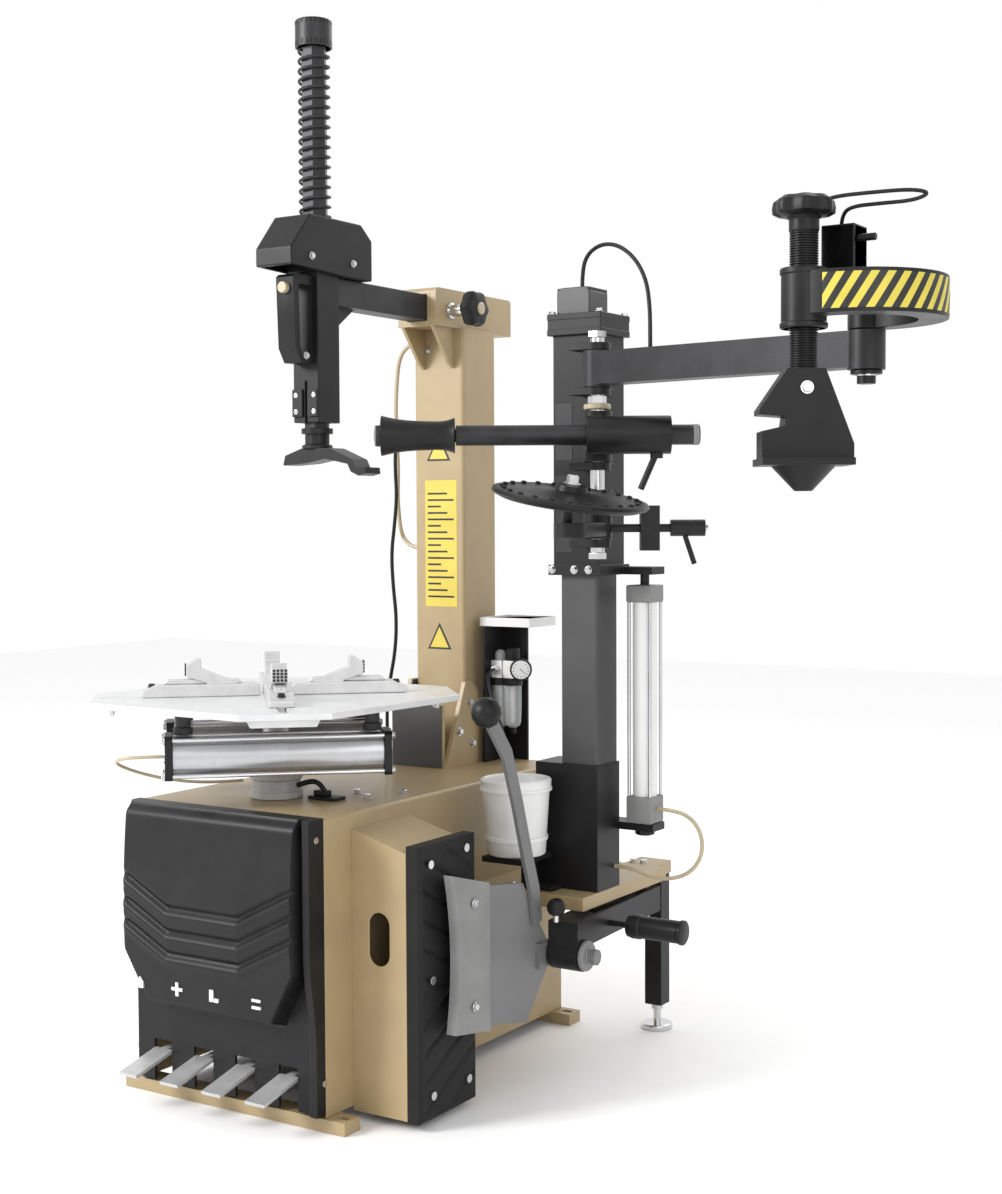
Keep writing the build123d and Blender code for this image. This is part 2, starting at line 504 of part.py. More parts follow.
PRESS_FACE = Plane((SCREW[0], SCREW[1], 0), x_dir=SIDE, z_dir=NEAR)
with BuildPart() as press_block:
    wedge = [(-30, 1330), (30, 1330), (75, 1212), (75, 1189), (-70, 1189), (-70, 1232), (-34, 1240),
             (-32, 1255), (-74, 1258), (-74, 1266)]
    prism(PRESS_FACE, wedge, 30, both=True)
    upright(*SCREW, (1309.6, 1331), SCREW_R + FIT, Mode.SUBTRACT)
    with BuildSketch(Plane((SCREW[0], SCREW[1], 1178), x_dir=SIDE, z_dir=(0, 0, 1))) as flange:
        Rectangle(145, 110)
    extrude(flange.sketch, amount=11.5)
    rod((*SCREW, 1178.5), (*SCREW, 1138), 52, top_radius=14)
save(press_block, "press_block")


# ---------------------------------------------------------------- bead roller and lifting disc
def on_bar(distance):
    """Point on the roller bar's axis."""
    return (BAR_X + distance * SIDE.X, BAR_Y + distance * SIDE.Y, BAR_Z)


BAR_PLANE = Plane((BAR_X, BAR_Y, 0), x_dir=SIDE, z_dir=(0, 0, 1))
with BuildPart() as roller_arm:
    upright(PIVOT_X, PIVOT_Y, (1204, 1300), SLEEVE_R)
    rod(on_bar(160), on_bar(318), 36)
    with BuildSketch(BAR_PLANE.offset(1225)) as link:
        with BuildLine():
            Polyline((160, 0), (215, 0), (212, 66), (160, 66), close=True)
        make_face()
    extrude(link.sketch, amount=54)
    upright(PIVOT_X, PIVOT_Y, (1200, 1310), PIVOT_R + FIT, Mode.SUBTRACT)
    rod(on_bar(150), on_bar(330), BAR_R + FIT, Mode.SUBTRACT)
save(roller_arm, "roller_arm")

with BuildPart() as roller_bar:
    rod(on_bar(-84), on_bar(372), BAR_R)
    rod(on_bar(-222), on_bar(-84), 12)
    rod(on_bar(-232), on_bar(-225), 20)
    rod(on_bar(-226), on_bar(-221), 12)
save(roller_bar, "roller_bar")

with BuildPart() as bead_roller:
    with BuildSketch(Plane(on_bar(-224), x_dir=SIDE, z_dir=NEAR)) as spool:
        with BuildLine():
            waist = Spline((0, 38), (40, 30), (90, 27), (125, 29), (138, 34))
            Line(waist @ 1, (138, 12 + FIT))
            Line((138, 12 + FIT), (0, 12 + FIT))
            Line((0, 12 + FIT), (0, 38))
        make_face()
    revolve(spool.sketch, axis=Axis(on_bar(-224), SIDE))
save(bead_roller, "bead_roller")

DISC_AXIS = (Vector(0, 0, 1) + 0.14 * NEAR + 0.13 * SIDE).normalized()
DISC_CENTRE = Vector(DISC_X, DISC_Y, DISC_Z)
with BuildPart() as disc_arm:
    upright(PIVOT_X, PIVOT_Y, (1057, 1150), SLEEVE_R)
    reach = Vector(DISC_X, DISC_Y) - Vector(PIVOT_X, PIVOT_Y)
    with BuildSketch(Plane((PIVOT_X, PIVOT_Y, 1062), x_dir=reach, z_dir=(0, 0, 1))) as reach_plan:
        with Locations((reach.length / 2, 0)):
            Rectangle(reach.length, 44)
        with Locations((reach.length, 0)):
            Circle(30)
    extrude(reach_plan.sketch, amount=26)
    base_point = DISC_CENTRE - 50 * DISC_AXIS
    tip_point = DISC_CENTRE + 26 * DISC_AXIS
    rod(base_point, tip_point, 10)
    grip_start = Vector(PIVOT_X, PIVOT_Y, 1077) + 20 * SIDE
    rod(grip_start, (grip_start + 120 * SIDE), 8)
    rod((grip_start + 120 * SIDE), (grip_start + 186 * SIDE), 16)
    with Locations(Plane(grip_start + 80 * SIDE, x_dir=SIDE, z_dir=(0, 0, 1)).location):
        Box(36, 40, 86)
    upright(PIVOT_X, PIVOT_Y, (1050, 1160), PIVOT_R + FIT, Mode.SUBTRACT)
save(disc_arm, "disc_arm")

with BuildPart() as lifting_disc:
    rod(DISC_CENTRE - 8 * DISC_AXIS, DISC_CENTRE + 6 * DISC_AXIS, DISC_R)
    rod((DISC_CENTRE + 5 * DISC_AXIS), (DISC_CENTRE + 22 * DISC_AXIS), 30)
    rod((DISC_CENTRE - 20 * DISC_AXIS), (DISC_CENTRE + 30 * DISC_AXIS), 10 + FIT,
        Mode.SUBTRACT)
save(lifting_disc, "lifting_disc")

# ---------------------------------------------------------------- bead breaker
with BuildPart() as breaker_arm:
    arm_plan_points = [(BREAK_X - 28, 380), (BREAK_X + 28, 380), (BREAK_X + 30, 300), (505, 22 - 25),
                       (440, 22 - 25), (435, 120), (BREAK_X - 30, 300)]
    prism(Plane.XY.offset(276), arm_plan_points, 52)
    openings = [[(448, 250), (470, 250), (460, 150)], [(485, 235), (488, 90), (462, 110)]]
    for triangle in openings:
        prism(Plane.XY.offset(270), triangle, 64, Mode.SUBTRACT)
    rod((440, BLADE_PIN_Y, BLADE_PIN_Z), (505, BLADE_PIN_Y, BLADE_PIN_Z), 31)
    rod((439, BLADE_PIN_Y, BLADE_PIN_Z), (506, BLADE_PIN_Y, BLADE_PIN_Z), BLADE_PIN_R + FIT, Mode.SUBTRACT)
    upright(BREAK_X, BREAK_Y, (270, 334), BREAK_R + FIT, Mode.SUBTRACT)
    rod((488, 141, 300), (540, 141, 300), 6)
    rod((540, 141, 300), (655, 141, 300), 22)
save(breaker_arm, "breaker_arm")

HANDLE_ROUTE = ((-30, 330), (-39, 391), (-64, 460), (-99, 568), (-134, 662), (-196, 738))
with BuildPart() as breaker_blade:
    with BuildSketch(Plane.XY.offset(120)) as blade_plan:
        with BuildLine():
            ThreePointArc((400, -281), (404, -130), (430, 10))
            Line((430, 10), (438, 10))
            ThreePointArc((438, 10), (412, -130), (408, -281))
            Line((408, -281), (400, -281))
        make_face()
    extrude(blade_plan.sketch, amount=350)
    with BuildSketch(side_plane(380)) as blade_side:
        with BuildLine():
            ThreePointArc((-275, 176), (-262, 300), (-281, 452))
            Line((-281, 452), (-170, 421))
            Line((-170, 421), (-64, 408))
            Line((-64, 408), (-1, 290))
            Line((-1, 290), (-1, 234))
            Line((-1, 234), (-55, 140))
            Line((-55, 140), (-275, 176))
        make_face()
    extrude(blade_side.sketch, amount=80, mode=Mode.INTERSECT)
    span_box((428, 437), (-30, 40), (238, 286))
    rod((428, BLADE_PIN_Y, BLADE_PIN_Z), (518, BLADE_PIN_Y, BLADE_PIN_Z), BLADE_PIN_R)
    rod((506, BLADE_PIN_Y, BLADE_PIN_Z), (514, BLADE_PIN_Y, BLADE_PIN_Z), 24)
    rod((514, BLADE_PIN_Y, BLADE_PIN_Z), (534, BLADE_PIN_Y, BLADE_PIN_Z), 15)
    for (y0, z0), (y1, z1) in zip(HANDLE_ROUTE, HANDLE_ROUTE[1:]):
        mid = ((y0 + y1) / 2, (z0 + z1) / 2)
        run = Vector(0, y1 - y0, z1 - z0)
        with Locations(Plane((430, *mid), x_dir=(1, 0, 0), z_dir=run).location):
            Box(8, 30, run.length + 6)
    with Locations((430, -202, 745)):
        Sphere(27)
save(breaker_blade, "breaker_blade")

with BuildPart() as blade_guard:
    with BuildSketch(Plane.XY.offset(120)) as guard_plan:
        with BuildLine():
            ThreePointArc((393, -290), (395, -230), (395, -172))
            Line((395, -172), (417, -172))
            ThreePointArc((417, -172), (415, -230), (415, -290))
            Line((415, -290), (393, -290))
        make_face()
    extrude(guard_plan.sketch, amount=350)
    with BuildSketch(side_plane(380)) as guard_side:
        with BuildLine():
            ThreePointArc((-283, 170), (-270, 300), (-289, 460))
            Line((-289, 460), (-172, 428))
            Line((-172, 428), (-172, 152))
            Line((-172, 152), (-283, 170))
        make_face()
    extrude(guard_side.sketch, amount=80, mode=Mode.INTERSECT)
    add(breaker_blade.part, mode=Mode.SUBTRACT)
save(blade_guard, "blade_guard")


# ---------------------------------------------------------------- hoses
def hose(name, points, radius):
    """A plain tube along straight runs joined by tangent arcs."""
    with BuildPart() as tube:
        with BuildLine() as route:
            hose_path(name, points)
        with BuildSketch(Plane(route.line @ 0, z_dir=route.line % 0)):
            Circle(radius)
        sweep()
    length = sum(edge.length for edge in route.edges())
    print(name, "length", round(length), "volume ratio", round(tube.part.volume / (pi * radius ** 2 * length), 3))
    save(tube, name)


HELPER_HOSE = ((428, 155, 1545.3), (428, 155, 1585), (446, 147, 1614), (485, 134, 1627), (530, 120, 1618),
               (572, 108, 1587), (600, 98, 1543), (612, 88, 1492), (617, 80, 1445), (617, 80, 1412.3))
CYLINDER_HOSE = ((559.3, 221, 520), (600, 221, 520), (638, 217, 508), (662, 212, 476), (664, 205, 436),
                 (640, 198, 402), (598, 192, 388), (560, 189, 390), (520, 187, 404), (481.3, 187, 404))
REGULATOR_HOSE = ((97, 349.5, 768), (97, 318, 768), (118, 286, 742), (148, 264, 700), (174, 254, 648),
                  (184, 252, 604), (184, 252, 565.3))
CHUCK_HOSE = ((-86.8, -489.4, 663), (-116, -516, 663), (-152, -532, 660), (-184, -520, 650),
              (-197, -488, 636), (-188, -450, 620), (-160, -414, 607), (-120, -378, 599), (-84, -340, 597),
              (-54, -310.5, 599))
COLUMN_HOSE = ((-72.3, 322, 1484), (-100, 322, 1484), (-124, 322, 1470), (-138, 322, 1446), (-144, 322, 1400),
               (-147, 321, 1336), (-143, 320, 1270), (-140, 320, 1204), (-143, 321, 1146), (-141, 322, 1112),
               (-136.2, 322, 1070.2), (-122.2, 322, 1046), (-98, 322, 1032), (-72.3, 322, 1032))
COLUMN_CABLE = ((-72.3, 300, 1290), (-98, 300, 1290), (-121, 300, 1277), (-133, 300, 1253), (-134, 300, 1208),
                (-130, 300, 1146), (-137, 300, 1082), (-146, 300, 1020), (-142, 300, 948), (-133, 300, 876),
                (-137, 300, 802), (-153, 300, 734), (-162, 300, 664), (-160, 300, 610), (-160, 300, 565.3))
for hose_name, hose_points, hose_radius in (
        ("helper_hose", HELPER_HOSE, 4),
        ("cylinder_hose", CYLINDER_HOSE, 4),
        ("regulator_hose", REGULATOR_HOSE, 4),
        ("chuck_hose", CHUCK_HOSE, 3),
        ("column_hose", COLUMN_HOSE, 4.5),
        ("column_cable", COLUMN_CABLE, 4)):
    hose(hose_name, hose_points, hose_radius)
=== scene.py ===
import json
import math

import bmesh
import bpy
from mathutils import Matrix, Vector


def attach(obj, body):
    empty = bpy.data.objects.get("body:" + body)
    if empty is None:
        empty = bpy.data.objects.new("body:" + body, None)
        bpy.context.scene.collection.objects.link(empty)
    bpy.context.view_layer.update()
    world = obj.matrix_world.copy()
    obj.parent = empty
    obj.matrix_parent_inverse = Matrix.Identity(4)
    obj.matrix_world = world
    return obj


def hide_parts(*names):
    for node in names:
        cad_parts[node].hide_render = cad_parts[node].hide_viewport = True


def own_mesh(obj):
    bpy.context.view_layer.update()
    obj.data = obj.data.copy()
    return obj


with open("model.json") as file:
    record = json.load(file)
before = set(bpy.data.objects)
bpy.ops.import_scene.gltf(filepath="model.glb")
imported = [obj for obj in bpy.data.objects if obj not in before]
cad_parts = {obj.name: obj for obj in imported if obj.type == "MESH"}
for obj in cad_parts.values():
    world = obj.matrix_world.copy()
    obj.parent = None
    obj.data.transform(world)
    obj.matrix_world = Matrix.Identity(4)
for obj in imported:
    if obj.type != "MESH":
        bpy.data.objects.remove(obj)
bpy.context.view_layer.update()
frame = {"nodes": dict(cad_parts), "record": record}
MM = 0.001
UP, RIGHT, FRONT = (0, 0, 1), (1, 0, 0), (0, -1, 0)
TABLE_AXIS, SHAFT_AXIS = (-8, -268), (-8, -133)
PIVOT_AXIS, LIFT_AXIS, TUB_AXIS = (503, 80), (531, 221), (344, 36)


def mm(*point):
    """Millimetres in the row frame to metres."""
    return Vector(point) * MM


# ---------------------------------------------------------------- camera
CAMERA_PLACE = Vector((2.128, -2.8154, 1.0976))
CAMERA_AZIMUTH, CAMERA_PITCH, CAMERA_ROLL = 32.504, -2.621, -0.255
CAMERA_LENS = 52.1


def make_camera():
    azimuth, pitch = math.radians(CAMERA_AZIMUTH), math.radians(CAMERA_PITCH)
    ahead = Vector((-math.sin(azimuth) * math.cos(pitch), math.cos(azimuth) * math.cos(pitch),
                    math.sin(pitch)))
    data = bpy.data.cameras.new("camera")
    data.sensor_fit = "VERTICAL"
    data.sensor_height = 36
    data.lens = CAMERA_LENS
    data.clip_end = 60
    camera = bpy.data.objects.new("camera", data)
    bpy.context.scene.collection.objects.link(camera)
    turn = ahead.to_track_quat("-Z", "Y").to_matrix().to_4x4()
    roll = Matrix.Rotation(math.radians(CAMERA_ROLL), 4, "Z")
    camera.matrix_world = Matrix.Translation(CAMERA_PLACE) @ turn @ roll
    bpy.context.scene.camera = camera


make_camera()


# ---------------------------------------------------------------- materials
def surface(name, color, rough, metal=0.0, vary=0.12, scale=18, bump=0.1, bump_scale=220, coat=0.0,
            alpha=1.0, shine=0.5):
    """Shader with mottled colour and roughness and a fine bump, from object-space noise."""
    material = bpy.data.materials.new(name)
    material.use_nodes = True
    nodes, links = material.node_tree.nodes, material.node_tree.links
    shader = nodes["Principled BSDF"]
    place = nodes.new("ShaderNodeTexCoord")
    broad = nodes.new("ShaderNodeTexNoise")
    broad.inputs["Scale"].default_value = scale
    broad.inputs["Detail"].default_value = 5
    links.new(place.outputs["Object"], broad.inputs["Vector"])
    ramp = nodes.new("ShaderNodeValToRGB")
    ramp.color_ramp.elements[0].position = 0.3
    ramp.color_ramp.elements[1].position = 0.7
    ramp.color_ramp.elements[0].color = [c * (1 - vary) for c in color] + [1]
    ramp.color_ramp.elements[1].color = [min(1, c * (1 + vary)) for c in color] + [1]
    links.new(broad.outputs["Fac"], ramp.inputs["Fac"])
    links.new(ramp.outputs["Color"], shader.inputs["Base Color"])
    spread = nodes.new("ShaderNodeMapRange")
    spread.inputs["To Min"].default_value = max(0.03, rough - 0.07)
    spread.inputs["To Max"].default_value = min(1, rough + 0.09)
    links.new(broad.outputs["Fac"], spread.inputs["Value"])
    links.new(spread.outputs["Result"], shader.inputs["Roughness"])
    fine = nodes.new("ShaderNodeTexNoise")
    fine.inputs["Scale"].default_value = bump_scale
    fine.inputs["Detail"].default_value = 3
    links.new(place.outputs["Object"], fine.inputs["Vector"])
    relief = nodes.new("ShaderNodeBump")
    relief.inputs["Strength"].default_value = bump
    relief.inputs["Distance"].default_value = 0.0006
    links.new(fine.outputs["Fac"], relief.inputs["Height"])
    links.new(relief.outputs["Normal"], shader.inputs["Normal"])
    shader.inputs["Metallic"].default_value = metal
    shader.inputs["Coat Weight"].default_value = coat
    shader.inputs["Alpha"].default_value = alpha
    shader.inputs["Specular IOR Level"].default_value = shine
    return material


def brushed(name, color, rough, stretch=(4, 4, 300), metal=1.0):
    """Metal with fine lines drawn along one object axis."""
    material = surface(name, color, rough, metal, vary=0.08, scale=9, bump=0.05)
    nodes, links = material.node_tree.nodes, material.node_tree.links
    mapping = nodes.new("ShaderNodeMapping")
    mapping.inputs["Scale"].default_value = stretch
    links.new(nodes["Texture Coordinate"].outputs["Object"], mapping.inputs["Vector"])
    fine = [n for n in nodes if n.type == "TEX_NOISE"][1]
    fine.inputs["Scale"].default_value = 6
    links.new(mapping.outputs["Vector"], fine.inputs["Vector"])
    return material


def striped(name):
    """Slanted yellow and black bands round the press arm."""
    material = surface(name, (0.60, 0.50, 0.06), 0.45, bump=0.05)
    nodes, links = material.node_tree.nodes, material.node_tree.links
    place = nodes.new("ShaderNodeMapping")
    place.inputs["Location"].default_value = (-PRESS_MIDDLE[0], -PRESS_MIDDLE[1], 0)
    links.new(nodes["Texture Coordinate"].outputs["Object"], place.inputs["Vector"])
    split = nodes.new("ShaderNodeSeparateXYZ")
    links.new(place.outputs["Vector"], split.inputs["Vector"])
    angle = nodes.new("ShaderNodeMath")
    angle.operation = "ARCTAN2"
    links.new(split.outputs["Y"], angle.inputs[0])
    links.new(split.outputs["X"], angle.inputs[1])
    slant = nodes.new("ShaderNodeMath")
    slant.operation = "MULTIPLY_ADD"
    slant.inputs[1].default_value = -4.2
    links.new(split.outputs["Z"], slant.inputs[0])
    links.new(angle.outputs["Value"], slant.inputs[2])
    wave = nodes.new("ShaderNodeMath")
    wave.operation = "MULTIPLY"
    wave.inputs[1].default_value = 5.6
    links.new(slant.outputs["Value"], wave.inputs[0])
    fraction = nodes.new("ShaderNodeMath")
    fraction.operation = "FRACT"
    links.new(wave.outputs["Value"], fraction.inputs[0])
    band = nodes.new("ShaderNodeMath")
    band.operation = "GREATER_THAN"
    band.inputs[1].default_value = 0.5
    links.new(fraction.outputs["Value"], band.inputs[0])
    mix = nodes.new("ShaderNodeMixRGB")
    mix.inputs["Color1"].default_value = (0.012, 0.012, 0.012, 1)
    links.new(band.outputs["Value"], mix.inputs["Fac"])
    links.new(nodes["Color Ramp"].outputs["Color"], mix.inputs["Color2"])
    links.new(mix.outputs["Color"], nodes["Principled BSDF"].inputs["Base Color"])
    return material


PRESS_MIDDLE = (1.094, -0.119)
BEIGE = surface("beige_paint", (0.365, 0.275, 0.148), 0.42, vary=0.05, bump=0.15, bump_scale=420,
                coat=0.08)
BLACK = surface("black_paint", (0.010, 0.010, 0.011), 0.38, vary=0.3, bump=0.15, bump_scale=380,
                shine=0.28)
PLASTIC = surface("black_plastic", (0.008, 0.008, 0.0085), 0.4, vary=0.3, bump=0.35, bump_scale=650,
                  shine=0.26)
GREY = surface("grey_plastic", (0.21, 0.21, 0.208), 0.5, vary=0.1, bump=0.25, bump_scale=500, shine=0.35)
LIGHT_GREY = surface("light_grey_plastic", (0.40, 0.40, 0.39), 0.5, vary=0.07, bump=0.2, bump_scale=500)
WHITE = surface("white_plastic", (0.72, 0.72, 0.71), 0.38, vary=0.03, bump=0.05, coat=0.1)
STEEL = surface("bright_steel", (0.60, 0.60, 0.60), 0.36, 0.55, vary=0.08, scale=40, bump=0.1,
                bump_scale=300)
MAST = brushed("mast_steel", (0.06, 0.06, 0.062), 0.42, (180, 180, 5), 0.35)
DARK = surface("dark_steel", (0.030, 0.030, 0.032), 0.42, 0.4, vary=0.25, bump=0.2, shine=0.4)
BLADE = brushed("blade_paint", (0.165, 0.165, 0.165), 0.42, (40, 40, 160), 0.25)
CAST = surface("cast_table", (0.66, 0.665, 0.67), 0.38, 0.45, vary=0.06, scale=30, bump=0.08,
               bump_scale=260)
BARREL = surface("barrel_aluminium", (0.50, 0.505, 0.52), 0.34, 0.85, vary=0.05, scale=50, bump=0.05)
CHROME = surface("chrome", (0.62, 0.62, 0.63), 0.18, 1.0, vary=0.05, bump=0.02)
RUBBER = surface("rubber", (0.010, 0.010, 0.010), 0.6, vary=0.25, bump=0.4, bump_scale=300, shine=0.25)
HOSE = surface("hose_black", (0.008, 0.008, 0.008), 0.4, vary=0.1, bump=0.03, shine=0.3)
BEIGE_HOSE = surface("hose_beige", (0.42, 0.35, 0.23), 0.38, vary=0.05, bump=0.02, coat=0.2)
GLASS = surface("clear_bowl", (0.62, 0.65, 0.66), 0.08, vary=0.03, bump=0.02, alpha=0.45)
YELLOW = surface("yellow_panel", (0.62, 0.49, 0.07), 0.42, vary=0.06, bump=0.03)
# painted shade: a dark colour for the hinge bracket faces that lie in shadow
SHADED = surface("shaded_plate", (0.055, 0.055, 0.055), 0.5, vary=0.15, bump=0.1)
STRIPES = striped("striped_arm")
SMOOTH_ANGLE = math.radians(32)


# ---------------------------------------------------------------- piece builders
def add_piece(name, bm, material, body, bevel=0.0, segments=2, replaces=()):
    """Turn a bmesh in metres into a piece that rides on a body, with rounded edges."""
    bmesh.ops.recalc_face_normals(bm, faces=bm.faces)
    for face in bm.faces:
        face.smooth = True
    for edge in bm.edges:
        edge.smooth = len(edge.link_faces) == 2 and edge.calc_face_angle(0) < SMOOTH_ANGLE
    mesh = bpy.data.meshes.new(name)
    bm.to_mesh(mesh)
    bm.free()
    piece = bpy.data.objects.new(name, mesh)
    bpy.context.scene.collection.objects.link(piece)
    mesh.materials.append(material)
    if bevel:
        rounding = piece.modifiers.new("rounding", "BEVEL")
        rounding.width = bevel * MM
        rounding.segments = segments
        rounding.limit_method = "ANGLE"
        rounding.angle_limit = SMOOTH_ANGLE
        rounding.use_clamp_overlap = False
        rounding.harden_normals = True
    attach(piece, body)
    if replaces:
        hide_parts(*replaces)
    return piece


def soften(node, material, bevel=1.2):
    """The CAD node's own shape with small rounded edges."""
    source = frame["nodes"][node]
    bm = bmesh.new()
    bm.from_mesh(source.data)
    bm.transform(source.matrix_world)
    bmesh.ops.remove_doubles(bm, verts=bm.verts, dist=1e-6)
    bmesh.ops.dissolve_limit(bm, angle_limit=math.radians(0.6), verts=bm.verts, edges=bm.edges)
    piece = add_piece(node + "_body", bm, material, NODE_BODY[node], bevel, replaces=(node,))
    piece.modifiers["rounding"].use_clamp_overlap = True
    return piece


def axes_for(direction):
    """Two unit vectors square to a direction."""
    ahead = Vector(direction).normalized()
    side = ahead.cross(Vector(UP) if abs(ahead.z) < 0.9 else Vector(RIGHT)).normalized()
    return ahead, side, ahead.cross(side)


def lathe(bm, base, direction, profile, steps=40, wave=0.0, lobes=0):
    """Solid of revolution from (radius, height) points in mm; wave and lobes flute its rim."""
    ahead, side, up = axes_for(direction)
    base = Vector(base) * MM
    rings = []
    for radius, height in profile:
        ring = []
        for step in range(steps):
            angle = 2 * math.pi * step / steps
            r = radius * (1 + wave * math.cos(lobes * angle)) * MM
            ring.append(bm.verts.new(base + ahead * height * MM + side * r * math.cos(angle)
                                     + up * r * math.sin(angle)))
        rings.append(ring)
    for lower, upper in zip(rings, rings[1:]):
        for i in range(steps):
            j = (i + 1) % steps
            bm.faces.new((lower[i], lower[j], upper[j], upper[i]))
    bm.faces.new(list(reversed(rings[0])))
    bm.faces.new(rings[-1])


def turned(name, base, direction, profile, material, body, bevel=0.6, steps=40, wave=0.0, lobes=0,
           replaces=()):
    bm = bmesh.new()
    lathe(bm, base, direction, profile, steps, wave, lobes)
    return add_piece(name, bm, material, body, bevel, replaces=replaces)


def plate(bm, origin, across, up, outline, depth):
    """Prism: outline in mm on the plane of two directions, extruded by depth along their cross product."""
    across, up = Vector(across).normalized(), Vector(up).normalized()
    through = across.cross(up)
    origin = Vector(origin)
    near = [bm.verts.new((origin + across * a + up * b) * MM) for a, b in outline]
    far = [bm.verts.new((origin + across * a + up * b + through * depth) * MM) for a, b in outline]
    bm.faces.new(near)
    bm.faces.new(list(reversed(far)))
    for i in range(len(outline)):
        j = (i + 1) % len(outline)
        bm.faces.new((near[j], near[i], far[i], far[j]))


def cut_plate(name, origin, across, up, outline, depth, material, body, bevel=1.0, replaces=()):
    bm = bmesh.new()
    plate(bm, origin, across, up, outline, depth)
    return add_piece(name, bm, material, body, bevel, replaces=replaces)


def block(bm, low, high):
    """Box between two corners in mm."""
    plate(bm, low, RIGHT, (0, 1, 0), [(0, 0), (high[0] - low[0], 0), (high[0] - low[0], high[1] - low[1]),
                                          (0, high[1] - low[1])], high[2] - low[2])


def blocks(name, boxes, material, body, bevel=1.0, replaces=()):
    bm = bmesh.new()
    for low, high in boxes:
        block(bm, low, high)
    return add_piece(name, bm, material, body, bevel, replaces=replaces)


def bolts(name, places, direction, size, material, body, height=None, washer=True):
    """Hexagon heads with washers at points in mm, all facing one way."""
    bm = bmesh.new()
    height = height or size * 0.65
    for place in places:
        if washer:
            lathe(bm, place, direction, [(size * 1.05, 0), (size * 1.05, size * 0.16)], 28)
        rise = size * 0.16 if washer else 0
        lathe(bm, place, direction, [(size * 0.82, rise), (size * 0.82, rise + height * 0.85),
                                     (size * 0.7, rise + height)], 6)
    return add_piece(name, bm, material, body, 0.4)


def rods(name, runs, radius, material, body, replaces=()):
    """Round bars between pairs of points in mm."""
    bm = bmesh.new()
    for start, end in runs:
        length = (Vector(end) - Vector(start)).length
        lathe(bm, start, Vector(end) - Vector(start), [(radius * 0.85, 0), (radius, radius * 0.15),
              (radius, length - radius * 0.15), (radius * 0.85, length)], 24)
    return add_piece(name, bm, material, body, 0)


def bent_wire(name, points, radius, material, body):
    """Smooth round wire, cable or hose through a given route in mm."""
    data = bpy.data.curves.new(name, "CURVE")
    data.dimensions = "3D"
    data.bevel_depth = radius * MM
    data.bevel_resolution = 4
    data.use_fill_caps = True
    spline = data.splines.new("NURBS")
    spline.points.add(len(points) - 1)
    for point, place in zip(spline.points, points):
        point.co = (*(Vector(place) * MM), 1)
    spline.order_u = 3
    spline.use_endpoint_u = True
    wire = bpy.data.objects.new(name, data)
    bpy.context.scene.collection.objects.link(wire)
    data.materials.append(material)
    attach(wire, body)
    return wire


NODE_BODY = {node: body for body,
             members in frame["record"]["behaviour"]["bodies"].items() for node in members}

# ---------------------------------------------------------------- free hoses
HELPER_HOSE = ((428, 155, 1545.3), (428, 155, 1585), (446, 147, 1614), (485, 134, 1627), (530, 120, 1618),
               (572, 108, 1587), (600, 98, 1543), (612, 88, 1492), (617, 80, 1445), (617, 80, 1412.3))
CYLINDER_HOSE = ((559.3, 221, 520), (600, 221, 520), (638, 217, 508), (662, 212, 476), (664, 205, 436),
                 (640, 198, 402), (598, 192, 388), (560, 189, 390), (520, 187, 404), (481.3, 187, 404))
REGULATOR_HOSE = ((97, 349.5, 768), (97, 318, 768), (118, 286, 742), (148, 264, 700), (174, 254, 648),
                  (184, 252, 604), (184, 252, 565.3))
CHUCK_HOSE = ((-86.8, -489.4, 663), (-116, -516, 663), (-152, -532, 660), (-184, -520, 650),
              (-197, -488, 636), (-188, -450, 620), (-160, -414, 607), (-120, -378, 599),
              (-84, -340, 597), (-54, -310.5, 599))

COLUMN_HOSE = ((-72.3, 322, 1484), (-100, 322, 1484), (-124, 322, 1470), (-138, 322, 1446),
               (-144, 322, 1400), (-147, 321, 1336), (-143, 320, 1270), (-140, 320, 1204),
               (-143, 321, 1146), (-141, 322, 1112), (-136.2, 322, 1070.2), (-122.2, 322, 1046),
               (-98, 322, 1032), (-72.3, 322, 1032))
COLUMN_CABLE = ((-72.3, 300, 1290), (-98, 300, 1290), (-121, 300, 1277), (-133, 300, 1253),
                (-134, 300, 1208), (-130, 300, 1146), (-137, 300, 1082), (-146, 300, 1020),
                (-142, 300, 948), (-133, 300, 876), (-137, 300, 802), (-153, 300, 734), (-162, 300, 664),
                (-160, 300, 610), (-160, 300, 565.3))


def free_hose(node, points, radius, material):
    hose = bent_wire(node + "_line", points, radius, material, NODE_BODY[node])
    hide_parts(node)


free_hose("helper_hose", HELPER_HOSE, 4, HOSE)
free_hose("cylinder_hose", CYLINDER_HOSE, 4, BEIGE_HOSE)
free_hose("regulator_hose", REGULATOR_HOSE, 4, HOSE)
free_hose("chuck_hose", CHUCK_HOSE, 3, BEIGE_HOSE)
free_hose("column_hose", COLUMN_HOSE, 4.5, BEIGE_HOSE)
free_hose("column_cable", COLUMN_CABLE, 4, HOSE)

